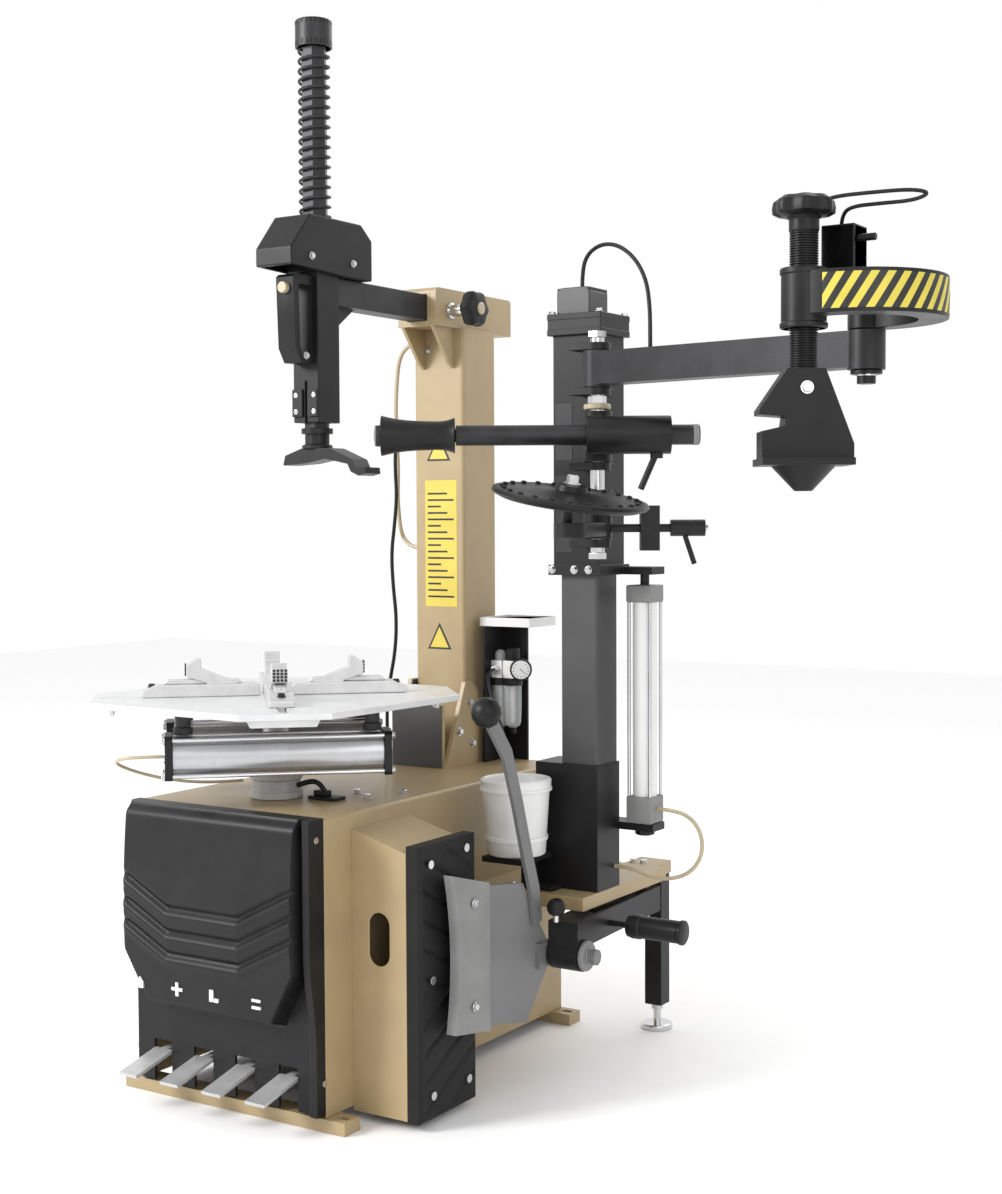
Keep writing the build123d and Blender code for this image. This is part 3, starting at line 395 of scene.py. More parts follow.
# ---------------------------------------------------------------- CAD shapes with rounded edges
ROUNDED = (
    ("floor_rails", BEIGE, 1.5), ("cabinet_shell", BEIGE, 1.5), ("pins_and_screws", CHROME, 0.8),
    ("pedal_1", STEEL, 1.0), ("pedal_2", STEEL, 1.0), ("pedal_3", STEEL, 1.0), ("pedal_4", STEEL, 1.0),
    ("pad_support", BEIGE, 2.0), ("gear_motor", DARK, 2.0), ("table_plate", CAST, 2.0),
    ("jaw_1", STEEL, 2.2), ("jaw_2", STEEL, 2.2), ("jaw_3", STEEL, 2.2), ("jaw_4", STEEL, 2.2),
    ("hinge_bracket", BEIGE, 1.5), ("column_post", BEIGE, 1.0), ("head_box", BEIGE, 1.5),
    ("arm_tube", DARK, 2.0), ("guide_tube", BLACK, 2.5), ("head_cover", PLASTIC, 4.0),
    ("release_handle", PLASTIC, 3.5), ("lock_button", BEIGE_HOSE, 2.0), ("hex_shaft", DARK, 1.0),
    ("mount_head", BLACK, 3.0), ("tool_tray", WHITE, 1.0), ("side_frame", BEIGE, 2.0),
    ("leg", BLACK, 2.0), ("levelling_foot", CHROME, 0.8), ("helper_base", BLACK, 2.0),
    ("mast", MAST, 1.0), ("carriage", BLACK, 1.5), ("arm_pivot_rod", CHROME, 0.8),
    ("swing_beam", DARK, 2.5), ("press_arm", BLACK, 3.0), ("press_block", PLASTIC, 2.5),
    ("roller_arm", BLACK, 2.0), ("roller_bar", DARK, 1.0), ("bead_roller", PLASTIC, 1.5),
    ("disc_arm", BLACK, 1.5), ("breaker_arm", BLACK, 2.0), ("breaker_blade", BLADE, 1.0),
    ("blade_guard", GREY, 1.5))


def round_cad_shapes():
    """The CAD shapes that keep their form, with rounded edges."""
    for node, material, bevel in ROUNDED:
        soften(node, material, bevel)


round_cad_shapes()


def spindle():
    """Shaft and fluted air union under the table."""
    turned("spindle_shaft", (*TABLE_AXIS, 400), UP, [(25, 0), (25, 316), (95, 317), (95, 350)], STEEL,
           "turntable", 1.0, replaces=("spindle",))
    turned("air_union", (*TABLE_AXIS, 566), UP, [(50, 0), (50, 12), (46, 14), (46, 34), (50, 36),
                                                 (50, 48)], LIGHT_GREY, "turntable", 1.0, 96, 0.018, 16)


spindle()

# ---------------------------------------------------------------- front cover
COVER_LEFT, COVER_RIGHT, COVER_LOW, COVER_TOP = -222.5, 222.5, 31, 566
RECESS_Y, STRIP_Y = -428.0, -440.0
BULGE_LOW, BULGE_MIDDLE = 195, -8
PEDALS = (-159, -57, 45, 147)


def smooth_step(low, high, value):
    t = min(1, max(0, (value - low) / (high - low)))
    return t * t * (3 - 2 * t)


def cover_depth(x, z):
    """The cover's front face y in mm at a point."""
    belly = -463 - 14 * math.sin(math.pi * min(1, max(0, (z - 150) / 420))) ** 0.8
    top_round = 13 * smooth_step(538, 566, z) ** 2
    corner = smooth_step(-14, 4, z - BULGE_LOW - max(0, abs(x - BULGE_MIDDLE) - 150) * 1.75)
    left = smooth_step(COVER_LEFT - 2, COVER_LEFT + 14, x)
    right = 1 - smooth_step(193, 203, x)
    inside = corner * right * (0.35 + 0.65 * left)
    y = RECESS_Y + (belly + top_round - RECESS_Y) * inside
    if x > 200:
        strip = smooth_step(200, 206, x)
        y = min(y, RECESS_Y + (STRIP_Y - RECESS_Y) * strip - 18 * smooth_step(150, 330, z) * strip)
    fade = smooth_step(COVER_LEFT + 5, COVER_LEFT + 22, x)
    for middle in (378, 334, 292):
        line = middle + 0.5 * max(0, abs(x - BULGE_MIDDLE + 8) - 86)
        y += 6.5 * math.exp(-((z - line) / 6.5) ** 2) * inside * fade
        y -= 3.0 * math.exp(-((z - line + 13) / 8) ** 2) * inside * fade
    return y


def front_cover():
    columns, rows = 150, 190
    bm = bmesh.new()
    xs = [COVER_LEFT + (COVER_RIGHT - COVER_LEFT) * i / columns for i in range(columns + 1)]
    zs = [COVER_LOW + (COVER_TOP - COVER_LOW) * j / rows for j in range(rows + 1)]
    grid = [[bm.verts.new(mm(x, cover_depth(x, z), z)) for x in xs] for z in zs]
    for j in range(rows):
        for i in range(columns):
            x, z = (xs[i] + xs[i + 1]) / 2, (zs[j] + zs[j + 1]) / 2
            if z < 111 and any(abs(x - centre) < 23 for centre in PEDALS):
                continue
            bm.faces.new((grid[j][i], grid[j][i + 1], grid[j + 1][i + 1], grid[j + 1][i]))
    rim = [edge for edge in bm.edges if len(edge.link_faces) == 1]
    walls = bmesh.ops.extrude_edge_only(bm, edges=rim)
    for vert in walls["geom"]:
        if isinstance(vert, bmesh.types.BMVert):
            outer = vert.co.z > 0.5655 or abs(abs(vert.co.x) - 0.2225) < 1e-5
            vert.co.y = -0.4155 if outer else max(vert.co.y + 0.006, -0.424)
    return add_piece("front_cover_shell", bm, PLASTIC, "machine", replaces=("front_cover",))


front_cover()


def raised_symbols():
    """Four plain raised marks above the pedals: a house, a cross, a block and a ring."""
    bm = bmesh.new()
    z, proud = 229, 2.2
    shapes = { -172: [[(-8, -10), (8, -10), (8, 2), (0, 12), (-8, 2)]],
              -79: [[(-3, -13), (3, -13), (3, 13), (-3, 13)], [(-13, -3), (-3.2, -3), (-3.2, 3),
                                                               (-13, 3)],
                    [(3.2, -3), (13, -3), (13, 3), (3.2, 3)]],
              10: [[(-9, -11), (0, -11), (0, 11), (-9, 11)], [(2, -11), (12, -11), (12, -4), (2, -4)]],
              112: [[(-10, 4), (10, 4), (10, 9), (-10, 9)], [(-10, -9), (10, -9), (10, -4), (-10, -4)]]}
    for x, outlines in shapes.items():
        y = min(cover_depth(x + a, z + b) for a in (-13, 0, 13) for b in (-13, 0, 13)) - proud
        for outline in outlines:
            plate(bm, (x, y, z), RIGHT, UP, outline, -12)
    add_piece("pedal_marks", bm, WHITE, "machine", 0.4)


raised_symbols()


# ---------------------------------------------------------------- breaker pad
def pad_with_grooves():
    """Rubber pad with slanted ribs across its outer face."""
    columns, rows = 46, 120
    low_y, high_y, low_z, high_z = -335, -151, 14, 514
    bm = bmesh.new()
    grid = []
    for j in range(rows + 1):
        row = []
        for i in range(columns + 1):
            y = low_y + (high_y - low_y) * i / columns
            z = low_z + (high_z - low_z) * j / rows
            phase = (z + 0.55 * (y if z > 250 else -y)) / 52
            groove = math.exp(-((phase - round(phase)) * 52 / 4.5) ** 2)
            margin = min(y - low_y, high_y - y, z - low_z, high_z - z)
            depth = 4.0 * groove * smooth_step(8, 16, margin) + 6 * (1 - smooth_step(0, 7, margin))
            row.append(bm.verts.new(mm(374 - depth, y, z)))
        grid.append(row)
    for j in range(rows):
        for i in range(columns):
            bm.faces.new((grid[j][i], grid[j][i + 1], grid[j + 1][i + 1], grid[j + 1][i]))
    rim = [edge for edge in bm.edges if len(edge.link_faces) == 1]
    walls = bmesh.ops.extrude_edge_only(bm, edges=rim)
    for vert in walls["geom"]:
        if isinstance(vert, bmesh.types.BMVert):
            vert.co.x = 0.3443
    bmesh.ops.holes_fill(bm, edges=[edge for edge in bm.edges if len(edge.link_faces) == 1], sides=0)
    add_piece("breaker_pad_rubber", bm, RUBBER, "machine", replaces=("breaker_pad",))


pad_with_grooves()


# ---------------------------------------------------------------- chuck cylinders under the table
CHUCK_ANGLE, CHUCK_OFFSET, BARREL_Z = 42.5, 110, 663


def table_spot(along, across, z, angle=CHUCK_ANGLE):
    turn = math.radians(angle)
    return (TABLE_AXIS[0] + along * math.cos(turn) - across * math.sin(turn),
            TABLE_AXIS[1] + along * math.sin(turn) + across * math.cos(turn), z)


ALONG = Vector((math.cos(math.radians(CHUCK_ANGLE)), math.sin(math.radians(CHUCK_ANGLE)), 0))
ACROSS = Vector((-ALONG.y, ALONG.x, 0))


def chuck_cylinder(side):
    name = "front" if side < 0 else "rear"
    middle = table_spot(-193, side * CHUCK_OFFSET, BARREL_Z)
    turned(f"{name}_barrel", middle, ALONG, [(36.5, 0), (36.5, 386)], BARREL, "turntable", 0.8, 56,
           replaces=("chuck_cylinders",))
    square = [(-41, -34), (-34, -41), (34, -41), (41, -34), (41, 34), (34, 41), (-34, 41), (-41, 34)]
    for end in (-207, 193):
        cut_plate(f"{name}_end_plate_{'b' if end > 0 else 'a'}", table_spot(end, side * CHUCK_OFFSET,
                BARREL_Z), UP, ACROSS, [(b, a) for a, b in square], -14, BLACK, "turntable", 1.5)
    corners = [(side * CHUCK_OFFSET + a, BARREL_Z + b) for a in (-33, 33) for b in (-33, 33)]
    runs = [(table_spot(-207, *corner), table_spot(207, *corner)) for corner in corners]
    rods(f"{name}_tie_rods", runs, 4, CHROME, "turntable")
    for end in (-1, 1):
        nuts = [table_spot(end * 207, *corner) for corner in corners]
        bolts(f"{name}_tie_nuts_{'b' if end > 0 else 'a'}", nuts, ALONG * end, 8, CHROME, "turntable")
        lug = table_spot(end * 174, side * CHUCK_OFFSET, 704)
        turned(f"{name}_link_{'b' if end > 0 else 'a'}", lug, UP, [(18, 0), (18, 12), (14, 14), (14, 46)],
               DARK, "turntable")


for side in (-1, 1):
    chuck_cylinder(side)


def jaws():
    """Teeth, ridge and bolts of each jaw, and a rib under each table tip."""
    for number, angle in enumerate((-47.5, 42.5, 132.5, 222.5), 1):
        turn = math.radians(angle)
        out = Vector((math.cos(turn), math.sin(turn), 0))
        across = Vector((-out.y, out.x, 0))
        base = Vector((*TABLE_AXIS, 0))
        teeth = bmesh.new()
        for row in range(4):
            for tooth in range(4):
                spot = base + out * 168 + across * (-12 + tooth * 7) + Vector((0, 0, 802 + row * 6))
                plate(teeth, spot, across, UP, [(0, 0), (5, 0), (5, 4.4), (0, 4.4)], 2.5)
        add_piece(f"jaw_{number}_teeth", teeth, DARK, f"jaw_{number}", 0.5)
        ridge = base + out * 62 + across * 11 + Vector((0, 0, 786))
        cut_plate(f"jaw_{number}_ridge", ridge, out, UP, [(0, 0), (150, 0), (140, 9), (8, 9)], 22, STEEL,
                  f"jaw_{number}", 2.0)
        bolts(f"jaw_{number}_bolts", [base + out * 200 + Vector((0, 0, 786)),
                                      base + out * 232 + Vector((0, 0, 781))], UP, 8, DARK,
              f"jaw_{number}")
        skirt = [(-66, 0), (66, 0), (58, -16), (-58, -16)]
        cut_plate(f"tip_rib_{number}", base + out * 300 + Vector((0, 0, 750.4)), across, UP, skirt, 8,
                  CAST, "turntable", 1.5)


jaws()


def cabinet_top():
    """Bolts, grommet and short hose on the cabinet."""
    bolts("cabinet_top_bolts", [(-60, -120, 565), (96, -150, 565), (150, -190, 565), (178, -110, 565)],
          UP, 9, CHROME, "machine")
    blocks("hose_grommet", [((62, -262, 565), (128, -226, 572)), ((70, -254, 571), (100, -234, 582))],
           PLASTIC, "machine", 2.5)
    bent_wire("union_hose", [(40, -262, 590), (62, -256, 600), (84, -248, 596), (92, -244, 578)], 5, HOSE,
              "machine")


cabinet_top()

# ---------------------------------------------------------------- column, head and shaft
def notices():
    """Blank yellow panel with rules, and two blank triangles."""
    blocks("notice_panel", [((-45, 288.1, 905), (38, 288.9, 1180))], YELLOW, "column", 0.3)
    for number, z in enumerate((1222, 812), 1):
        border, panel = [(-31, 0), (31, 0), (0, 58)], [(-24, 4), (24, 4), (0, 49)]
        cut_plate(f"triangle_border_{number}", (-9, 288.9, z), RIGHT, UP, border, 0.6, DARK, "column",
                  0.2)
        cut_plate(f"triangle_panel_{number}", (-9, 288.3, z), RIGHT, UP, panel, 0.6, YELLOW, "column",
                  0.2)
    notice_bars = []
    for row in range(17):
        z = 925 + 14 * row
        notice_bars.append(((-38, 287.6, z), (30 - 17 * (row % 3), 288.3, z + 4)))
    blocks("notice_rules", notice_bars, DARK, "column", 0.2)


notices()


def head():
    """Bolts and rear bracket of the column head."""
    bolts("head_bolts", [(-37, 288, 1462), (22, 270, 1462)], FRONT, 8, CHROME, "column")
    blocks("rear_bracket", [((-50, 418, 1440), (34, 424, 1505))], BLACK, "column", 1.5)


head()


def lock_knob():
    """Lobed knob on its stem."""
    turned("knob_stem", (41, 262, 1540), RIGHT, [(17, 0), (17, 6), (13, 8), (13, 40), (17, 42), (17, 46)],
           CHROME, "lock_knob", 0.5, replaces=("lock_knob",))
    turned("knob_wheel", (86, 262, 1540), RIGHT, [(20, 0), (34, 4), (37, 12), (37, 24), (33, 31),
                                                  (16, 34)], PLASTIC, "lock_knob", 0.8, 84, 0.07, 6)
    turned("knob_centre", (119, 262, 1540), RIGHT, [(13, 0), (13, 3), (10, 5)], BEIGE_HOSE, "lock_knob",
           0.5)


lock_knob()


def mounting_arm():
    """Cap, pinch lugs, nut and collar along the hexagonal shaft."""
    cap_profile = [(33, 0), (36, 3), (36, 12), (33, 15), (33, 40), (36, 43), (36, 50), (33, 53)]
    turned("shaft_cap", (*SHAFT_AXIS, 2012), UP, cap_profile, PLASTIC, "mounting_shaft", 0.6, 96, 0.015,
           24)
    bolts("cover_bolts", [(36, -70, 1600), (36, -200, 1600)], RIGHT, 7, CHROME, "mounting_arm")
    bolts("handle_bolt", [(13, -192, 1412)], RIGHT, 7, CHROME, "mounting_arm")
    bolts("pinch_bolts", [(-30, -167, 1306), (14, -167, 1306), (-30, -167, 1338), (14, -167, 1338)],
          FRONT, 7, CHROME, "mounting_arm")
    blocks("pinch_lugs", [((-39, -172, 1296), (-14, -166.9, 1350)),
                          ((-2, -172, 1296), (23, -166.9, 1350))], BLACK, "mounting_arm", 1.5)
    turned("mount_nut", (*SHAFT_AXIS, 1215), UP, [(17, 0), (19, 3), (19, 16), (14, 20)], CHROME,
           "mounting_shaft", 0.5, 6)
    turned("mount_collar", (*SHAFT_AXIS, 1232), UP, [(24, 0), (30, 3), (30, 9), (24, 12), (24, 32),
                                                     (31, 33), (31, 42)], BLACK, "mounting_shaft", 0.6)


mounting_arm()


def return_spring():
    """Coil round the hexagonal shaft."""
    low, high, radius, wire, pitch = 1682, 2010, 29, 3.0, 19.3
    turns = (high - low - 2 * wire) / pitch
    steps, around = int(turns * 28), 8
    bm = bmesh.new()
    rings = []
    for step in range(steps + 1):
        angle = 2 * math.pi * turns * step / steps
        middle = Vector((-8 + radius * math.cos(angle), -133 + radius * math.sin(angle),
                         low + wire + pitch * turns * step / steps))
        out = Vector((math.cos(angle), math.sin(angle), 0))
        ring = []
        for i in range(around):
            turn = 2 * math.pi * i / around
            offset = out * wire * math.cos(turn) + Vector((0, 0, wire * math.sin(turn)))
            ring.append(bm.verts.new((middle + offset) * MM))
        rings.append(ring)
    for lower, upper in zip(rings, rings[1:]):
        for i in range(around):
            j = (i + 1) % around
            bm.faces.new((lower[i], lower[j], upper[j], upper[i]))
    bm.faces.new(list(reversed(rings[0])))
    bm.faces.new(rings[-1])
    spring = add_piece("return_spring_coil", bm, DARK, "mounting_arm", replaces=("return_spring",))
    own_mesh(spring)


return_spring()


def bracket():
    """Painted shade on the hinge bracket, and its bolts: dark sheets on the left plate's inner face and
    across the front of the gap between the plates, where these lie in shadow.
    """
    # painted shade: a dark sheet on the inner face of the left bracket plate, which lies in shadow
    cut_plate("bracket_side_painted_shade", (-73.2, 0, 0), (0, 1, 0), UP, [(203, 566), (413, 566), (413, 640),
                                                              (300, 743), (276, 743)], 1.4, SHADED,
              "machine", 0.3)
    # painted shade: a dark sheet across the front of the gap between the bracket plates
    blocks("bracket_gap_painted_shade", [((-72, 197, 566), (56, 199.8, 700))], SHADED, "machine", 0.3)
    bolts("bracket_bolts", [(67.3, 250, 640), (67.3, 300, 610), (67.3, 350, 600), (67.3, 290, 700)],
          RIGHT, 9, CHROME, "machine")


bracket()

# ---------------------------------------------------------------- air service unit and tub
def service_unit():
    """Plate, body, bowls, knob and gauge of the air service unit."""
    blocks("service_back_plate", [((78, 326, 565.2), (84, 414, 862)),
                                  ((84, 408, 565.2), (142, 414, 862))], BLACK, "machine", 1.0,
           replaces=("regulator_unit",))
    blocks("service_body", [((82, 352, 748), (111, 386, 787)), ((113, 352, 748), (142, 386, 787)),
                            ((90, 386, 755), (110, 408, 780))], WHITE, "machine", 2.5)
    for number, x in enumerate((97, 129), 1):
        turned(f"service_bowl_{number}", (x, 369, 640), UP, [(8, 0), (15, 5), (18, 14), (19, 60),
                                                             (19, 96)], GLASS, "machine", 0.5)
        turned(f"service_ring_{number}", (x, 369, 733), UP, [(21, 0), (21, 14)], BLACK, "machine", 0.8,
               48, 0.03, 16)
        turned(f"service_core_{number}", (x, 369, 650), UP, [(5, 0), (5, 85)], WHITE, "machine", 0.5)
        turned(f"service_drain_{number}", (x, 369, 626), UP, [(5, 0), (7, 3), (7, 14)], BLACK, "machine",
               0.5)
    turned("service_dome", (97, 369, 787), UP, [(12, 0), (12, 14), (9, 20), (4, 23)], GLASS, "machine",
           0.4)
    turned("service_knob", (129, 369, 787), UP, [(13, 0), (15, 3), (15, 24), (12, 27)], BLACK, "machine",
           0.5, 72, 0.03, 18)
    turned("gauge_neck", (142, 369, 770), (1, -0.8, 0), [(6, 0), (6, 20)], STEEL, "machine", 0.4)
    turned("gauge_case", (157, 357, 770), (1, -1.6, 0), [(22, 0), (24, 3), (24, 16), (22, 18)], BLACK,
           "machine", 0.6)
    turned("gauge_face", (157 + 9.6, 357 - 15.3, 770), (1, -1.6, 0), [(20, 0), (20, 0.8)], WHITE,
           "machine", 0.2)


service_unit()


def gauge_marks():
    bm = bmesh.new()
    ahead, side, up = axes_for((1, -1.6, 0))
    centre = Vector((157, 357, 770)) + ahead * 19
    for tick in range(11):
        angle = math.radians(225 - 27 * tick)
        out = side * math.cos(angle) + up * math.sin(angle)
        plate(bm, centre + out * 14, out, ahead.cross(out), [(0, -0.5), (3.5, -0.5), (3.5, 0.5),
                                                             (0, 0.5)], 0.5)
    out = side * math.cos(2.4) + up * math.sin(2.4)
    plate(bm, centre, out, ahead.cross(out), [(-3, -0.7), (13, -0.3), (13, 0.3), (-3, 0.7)], 0.6)
    add_piece("gauge_marks", bm, BLACK, "machine")


gauge_marks()


def tub():
    """Inlet fitting, soap tub and its lid."""
    turned("inlet_fitting", (97, 352, 768), FRONT, [(9, 0), (9, 8), (7, 9), (7, 14)], CHROME, "machine",
           0.5, 6)
    tub_walls = [(56, 0), (58, 3), (66, 128), (68, 129), (68, 133), (66, 134), (66, 137)]
    turned("tub_shell", (*TUB_AXIS, 441), UP, tub_walls, WHITE, "machine", 0.6, 72, replaces=("tub",))
    lid_profile = [(69, 0), (71, 1), (71, 6), (69, 7), (69, 18), (70, 20), (68, 23), (62, 24), (60, 21),
                   (20, 21)]
    turned("tub_lid_cap", (*TUB_AXIS, 566), UP, lid_profile, WHITE, "tub_lid", 0.5, 72,
           replaces=("tub_lid",))
    turned("tub_ring", (*TUB_AXIS, 470), UP, [(61.5, 0), (62.5, 0), (62.8, 8), (61.8, 8)], WHITE,
           "machine", 0.3, 72)


tub()

# ---------------------------------------------------------------- helper mast details
def carriage():
    """Flanges, covers and washers on the sliding carriage."""
    blocks("top_flange", [((378, 102, 1452), (498, 222, 1464)), ((378, 102, 1482), (498, 222, 1494))],
           BLACK, "carriage", 1.5)
    bolts("top_flange_bolts", [(386, 110, 1494), (490, 110, 1494), (386, 214, 1494), (490, 214, 1494)],
          UP, 8, CHROME, "carriage")
    bolts("low_flange_bolts", [(388, 103, 996), (438, 103, 996), (470, 103, 996)], FRONT, 8, CHROME,
          "carriage")
    blocks("slide_covers", [((392, 110.2, 1030), (430, 111.2, 1180)),
                            ((392, 110.2, 1210), (430, 111.2, 1320))], DARK, "carriage", 0.5)
    cut_plate("cap_wrap", (391, 118, 1490), RIGHT, UP, [(0, 0), (74, 0), (74, 48), (66, 56), (8, 56),
                                                        (0, 48)], -74, MAST, "carriage", 3.0)
    turned("pivot_washer", (*PIVOT_AXIS, 1303), UP, [(24, 0), (26, 2), (26, 9), (24, 11)], BEIGE_HOSE,
           "carriage", 0.8)
    turned("pivot_nut_middle", (*PIVOT_AXIS, 1315), UP, [(18, 0), (18, 14)], CHROME, "carriage", 0.6, 6)


carriage()


def lift_cylinder():
    """Tube, caps, ties and valve of the lift cylinder."""
    turned("cylinder_tube", (*LIFT_AXIS, 540), UP, [(24, 0), (24, 394)], WHITE, "machine", 0.5, 48,
           replaces=("lift_cylinder",))
    blocks("cylinder_caps", [((503, 193, 491.5), (559, 249, 545)), ((503, 193, 930), (559, 249, 964))],
           GREY, "machine", 3.0)
    rods("cylinder_ties", [((CX, CY, 545), (CX, CY, 930)) for CX in (508, 554) for CY in (198, 244)], 3.5,
         CHROME, "machine")
    turned("cylinder_valve", (*LIFT_AXIS, 466), UP, [(15, 0), (19, 2), (19, 25)], BLACK, "machine", 0.6,
           48, 0.04, 12)


lift_cylinder()


def frame_bolts():
    """Bolts of the side frame."""
    bolts("leg_bolts", [(420, 425, 362), (395, 425, 362)], UP, 9, CHROME, "machine")
    bolts("base_bolts", [(330, 150, 362), (330, 190, 362), (300, 90, 362)], UP, 9, CHROME, "machine")


frame_bolts()


def striped_band():
    """Warning band on the outer side of the press arm's bend."""
    bm = bmesh.new()
    steps, start, end, inner, outer = 60, math.radians(-88), math.radians(62), 149.4, 150.7
    section = ((inner, 1420), (outer, 1420), (outer, 1476), (inner, 1476))
    rows = []
    for step in range(steps + 1):
        angle = start + (end - start) * step / steps
        out = Vector((math.cos(angle), math.sin(angle), 0))
        centre = Vector((1094, -119, 0))
        rows.append([bm.verts.new((centre + out * r + Vector((0, 0, z))) * MM) for r, z in section])
    for before, after in zip(rows, rows[1:]):
        for i in range(4):
            j = (i + 1) % 4
            bm.faces.new((before[i], before[j], after[j], after[i]))
    bm.faces.new(rows[0])
    bm.faces.new(list(reversed(rows[-1])))
    add_piece("warning_band", bm, STRIPES, "press_arm", 0)


striped_band()
SCREW = (1056.3, -239.2)


def press_screw():
    """Thread and lobed hand wheel."""
    thread = [(22, 0)]
    for ring in range(17):
        thread += [(23, 4 * ring + 1), (23, 4 * ring + 2.2), (19.5, 4 * ring + 3.2), (19.5, 4 * ring + 4)]
    turned("screw_thread_low", (*SCREW, 1326), UP, thread + [(22, 70)], BLACK, "press_screw", 0, 40,
           replaces=("press_screw",))
    turned("screw_thread_high", (*SCREW, 1486), UP, thread + [(22, 70)], BLACK, "press_screw", 0, 40)
    turned("screw_core", (*SCREW, 1312), UP, [(19, 0), (19, 240)], DARK, "press_screw", 0.4)
    turned("wheel_neck", (*SCREW, 1545), UP, [(22, 0), (24, 3), (24, 20), (30, 27)], PLASTIC,
           "press_screw", 0.6)
    turned("hand_wheel", (*SCREW, 1570), UP, [(38, 0), (47, 5), (48, 14), (46, 24), (36, 31), (12, 33)],
           PLASTIC, "press_screw", 0.8, 96, 0.07, 7)


press_screw()


def press_arm():
    """Sleeve, carrying loop, valve block and bolts."""
    turned("sleeve_body", (*SCREW, 1394), UP, [(36, 0), (38, 2), (38, 8), (36, 10), (36, 84), (38, 86),
                                               (38, 93), (36, 95)], BLACK, "press_arm", 0.6)
    wire = [(1068, -226, 1575), (1078, -232, 1590), (1100, -222, 1600), (1150, -190, 1606),
            (1200, -150, 1612), (1226, -136, 1606), (1204, -150, 1594), (1160, -176, 1590),
            (1110, -186, 1588), (1094, -176, 1574), (1092, -172, 1560)]
    bent_wire("carry_loop", wire, 3.2, BLACK, "press_arm")
    blocks("press_valve", [((1064, -188, 1482.2), (1120, -132, 1562))], PLASTIC, "press_arm", 3.0)
    rods("press_valve_pin", [((1118, -172, 1540), (1150, -172, 1540))], 6, BLACK, "press_arm")
    bolts("press_pivot_bolt", [(1068.7, 4.4, 1338)], (0, 0, -1), 18, CHROME, "press_arm")
    bolts("press_block_bolt", [(SCREW[0] + 17, SCREW[1] - 26, 1300)], (0.537, -0.843, 0), 10, CHROME,
          "press_block")


press_arm()

SIDE = Vector((0.8434, 0.5373, 0))
NEAR = Vector((0.5373, -0.8434, 0))


def on_bar(distance, z=1252):
    return Vector((383, -75, z)) + SIDE * distance


def roller_bar():
    """Caps and clamp lever of the roller bar."""
    turned("roller_cap", on_bar(-232.5), -SIDE, [(20, 0), (20, 3), (8, 5)], GREY, "roller_bar", 0.5)
    turned("bar_end_cap", on_bar(360), SIDE, [(19.6, 0), (19.6, 10), (17, 13)], GREY, "roller_bar", 0.5)
    rods("roller_clamp_lever", [(on_bar(290, 1214), on_bar(262, 1150))], 6, BLACK, "roller_arm")
    turned("roller_clamp_boss", on_bar(292, 1222), (0, 0, -1), [(12, 0), (12, 14)], BLACK, "roller_arm")


roller_bar()


def lifting_disc():
    """Disc with studs, nut, lever and grip end."""
    disc_axis = (Vector(UP) + 0.14 * NEAR + 0.13 * SIDE).normalized()
    disc_middle = Vector((568, -135, 1132))
    disc_profile = [(20, -8), (100, -9), (128, -8), (140, -3), (143, 1), (140, 6), (130, 8), (118, 6),
                    (70, 8), (40, 12), (30, 14), (28, 24), (12, 26)]
    turned("rubber_disc", disc_middle, disc_axis, disc_profile, PLASTIC, "lifting_disc", 0, 96,
           replaces=("lifting_disc",))
    turned("disc_nut", disc_middle + disc_axis * 26, disc_axis, [(15, 0), (15, 3), (11, 3.2), (11, 14),
            (8, 17)], CHROME, "disc_arm", 0.4, 6)
    stud_bm = bmesh.new()
    ahead, side_axis, up_axis = axes_for(disc_axis)
    for stud in range(24):
        angle = 2 * math.pi * stud / 24
        spot = disc_middle + disc_axis * 6.5 + (side_axis * math.cos(angle) + up_axis * math.sin(angle)) * 124
        lathe(stud_bm, spot, disc_axis, [(5, 0), (5, 3), (3, 4.5)], 12)
    add_piece("disc_studs", stud_bm, PLASTIC, "lifting_disc", 0)
    lever_start = Vector((*PIVOT_AXIS, 1062)) + SIDE * 168
    lever_end = Vector((*PIVOT_AXIS, 1008)) + SIDE * 186
    rods("disc_lever", [(lever_start, lever_end)], 5, BLACK, "disc_arm")
    bolts("disc_grip_end", [Vector((*PIVOT_AXIS, 1077)) + SIDE * 206], SIDE, 8, CHROME, "disc_arm")


lifting_disc()

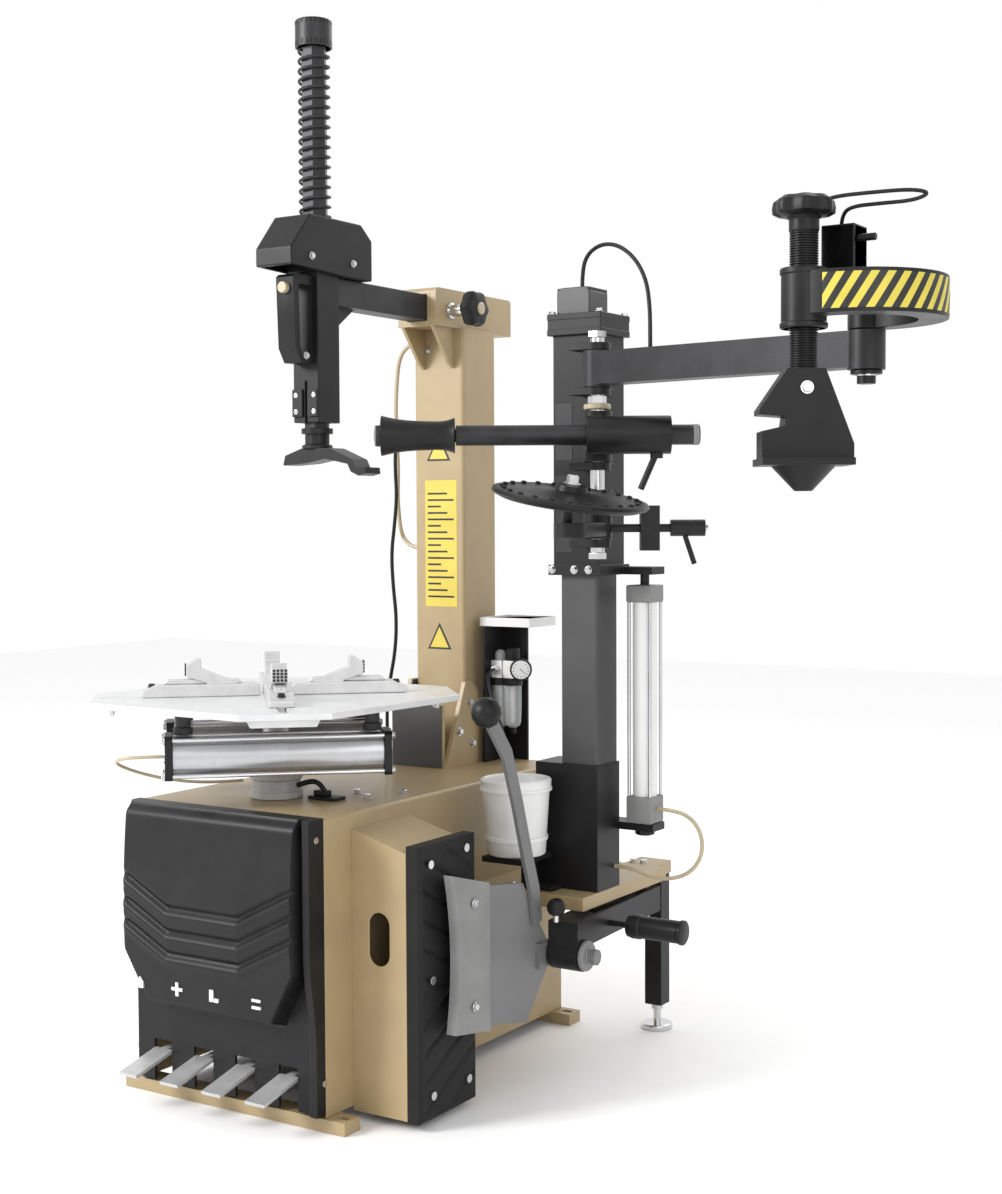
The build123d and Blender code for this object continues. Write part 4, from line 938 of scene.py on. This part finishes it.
# ---------------------------------------------------------------- bead breaker details
def breaker():
    """Knobs, rings, grip and bolts of the bead breaker."""
    turned("handle_ball", (430, -202, 718), UP, [(8, 0), (19, 6), (26, 17), (28, 27), (26, 38), (19, 49),
                                                 (8, 55)], PLASTIC, "breaker_blade", 0, 48)
    turned("arm_knob_stem", (462, -10, 328), UP, [(6, 0), (6, 14)], CHROME, "breaker_arm", 0.4)
    turned("arm_knob", (462, -10, 340), UP, [(6, 0), (14, 4), (18, 12), (18, 20), (13, 29), (5, 33)],
           PLASTIC, "breaker_arm", 0, 36)
    turned("pivot_ring", (505.5, 22, 262), RIGHT, [(27, 0), (29, 2), (29, 8), (27, 10)], GREY,
           "breaker_blade", 0.5)
    bolts("blade_pivot_bolt", [(516, 22, 262)], RIGHT, 15, CHROME, "breaker_blade")
    turned("pull_rod_grip", (545, 141, 300), RIGHT, [(21, 0), (24, 3), (24, 20), (22, 23), (22, 104),
                                                     (24, 106), (24, 112), (20, 114)], BLACK,
           "breaker_arm", 0.6)
    bolts("guard_bolts", [(417.5, -225, 400), (417.5, -225, 210)], RIGHT, 8, CHROME, "breaker_blade")


breaker()


# ---------------------------------------------------------------- floor, light and output
LAMPS = (
    ("key", (-2.6, -4.0, 3.2), 1.8, 240), ("fill", (3.6, -2.6, 2.4), 2.4, 30),
    ("back", (0.5, 3.6, 3.4), 2.4, 40))


def stage_and_light():
    bm = bmesh.new()
    block(bm, (-9000, -9000, -20), (9000, 9000, -0.5))
    mesh = bpy.data.meshes.new("floor")
    bm.to_mesh(mesh)
    bm.free()
    floor = bpy.data.objects.new("floor", mesh)
    bpy.context.scene.collection.objects.link(floor)
    mesh.materials.append(surface("floor", (0.93, 0.93, 0.93), 0.6, vary=0.01, bump=0.02))
    world = bpy.data.worlds.new("studio")
    world.use_nodes = True
    world.node_tree.nodes["Background"].inputs["Color"].default_value = (1, 1, 1, 1)
    world.node_tree.nodes["Background"].inputs["Strength"].default_value = 1.0
    bpy.context.scene.world = world
    for name, place, size, power in LAMPS:
        lamp = bpy.data.lights.new(name, "AREA")
        lamp.energy = power
        lamp.size = size
        light = bpy.data.objects.new(name, lamp)
        bpy.context.scene.collection.objects.link(light)
        light.location = place
        light.rotation_euler = (Vector((0.3, 0, 0.9)) - Vector(place)).to_track_quat("-Z", "Y").to_euler()
    bpy.context.scene.view_settings.view_transform = "Standard"


stage_and_light()
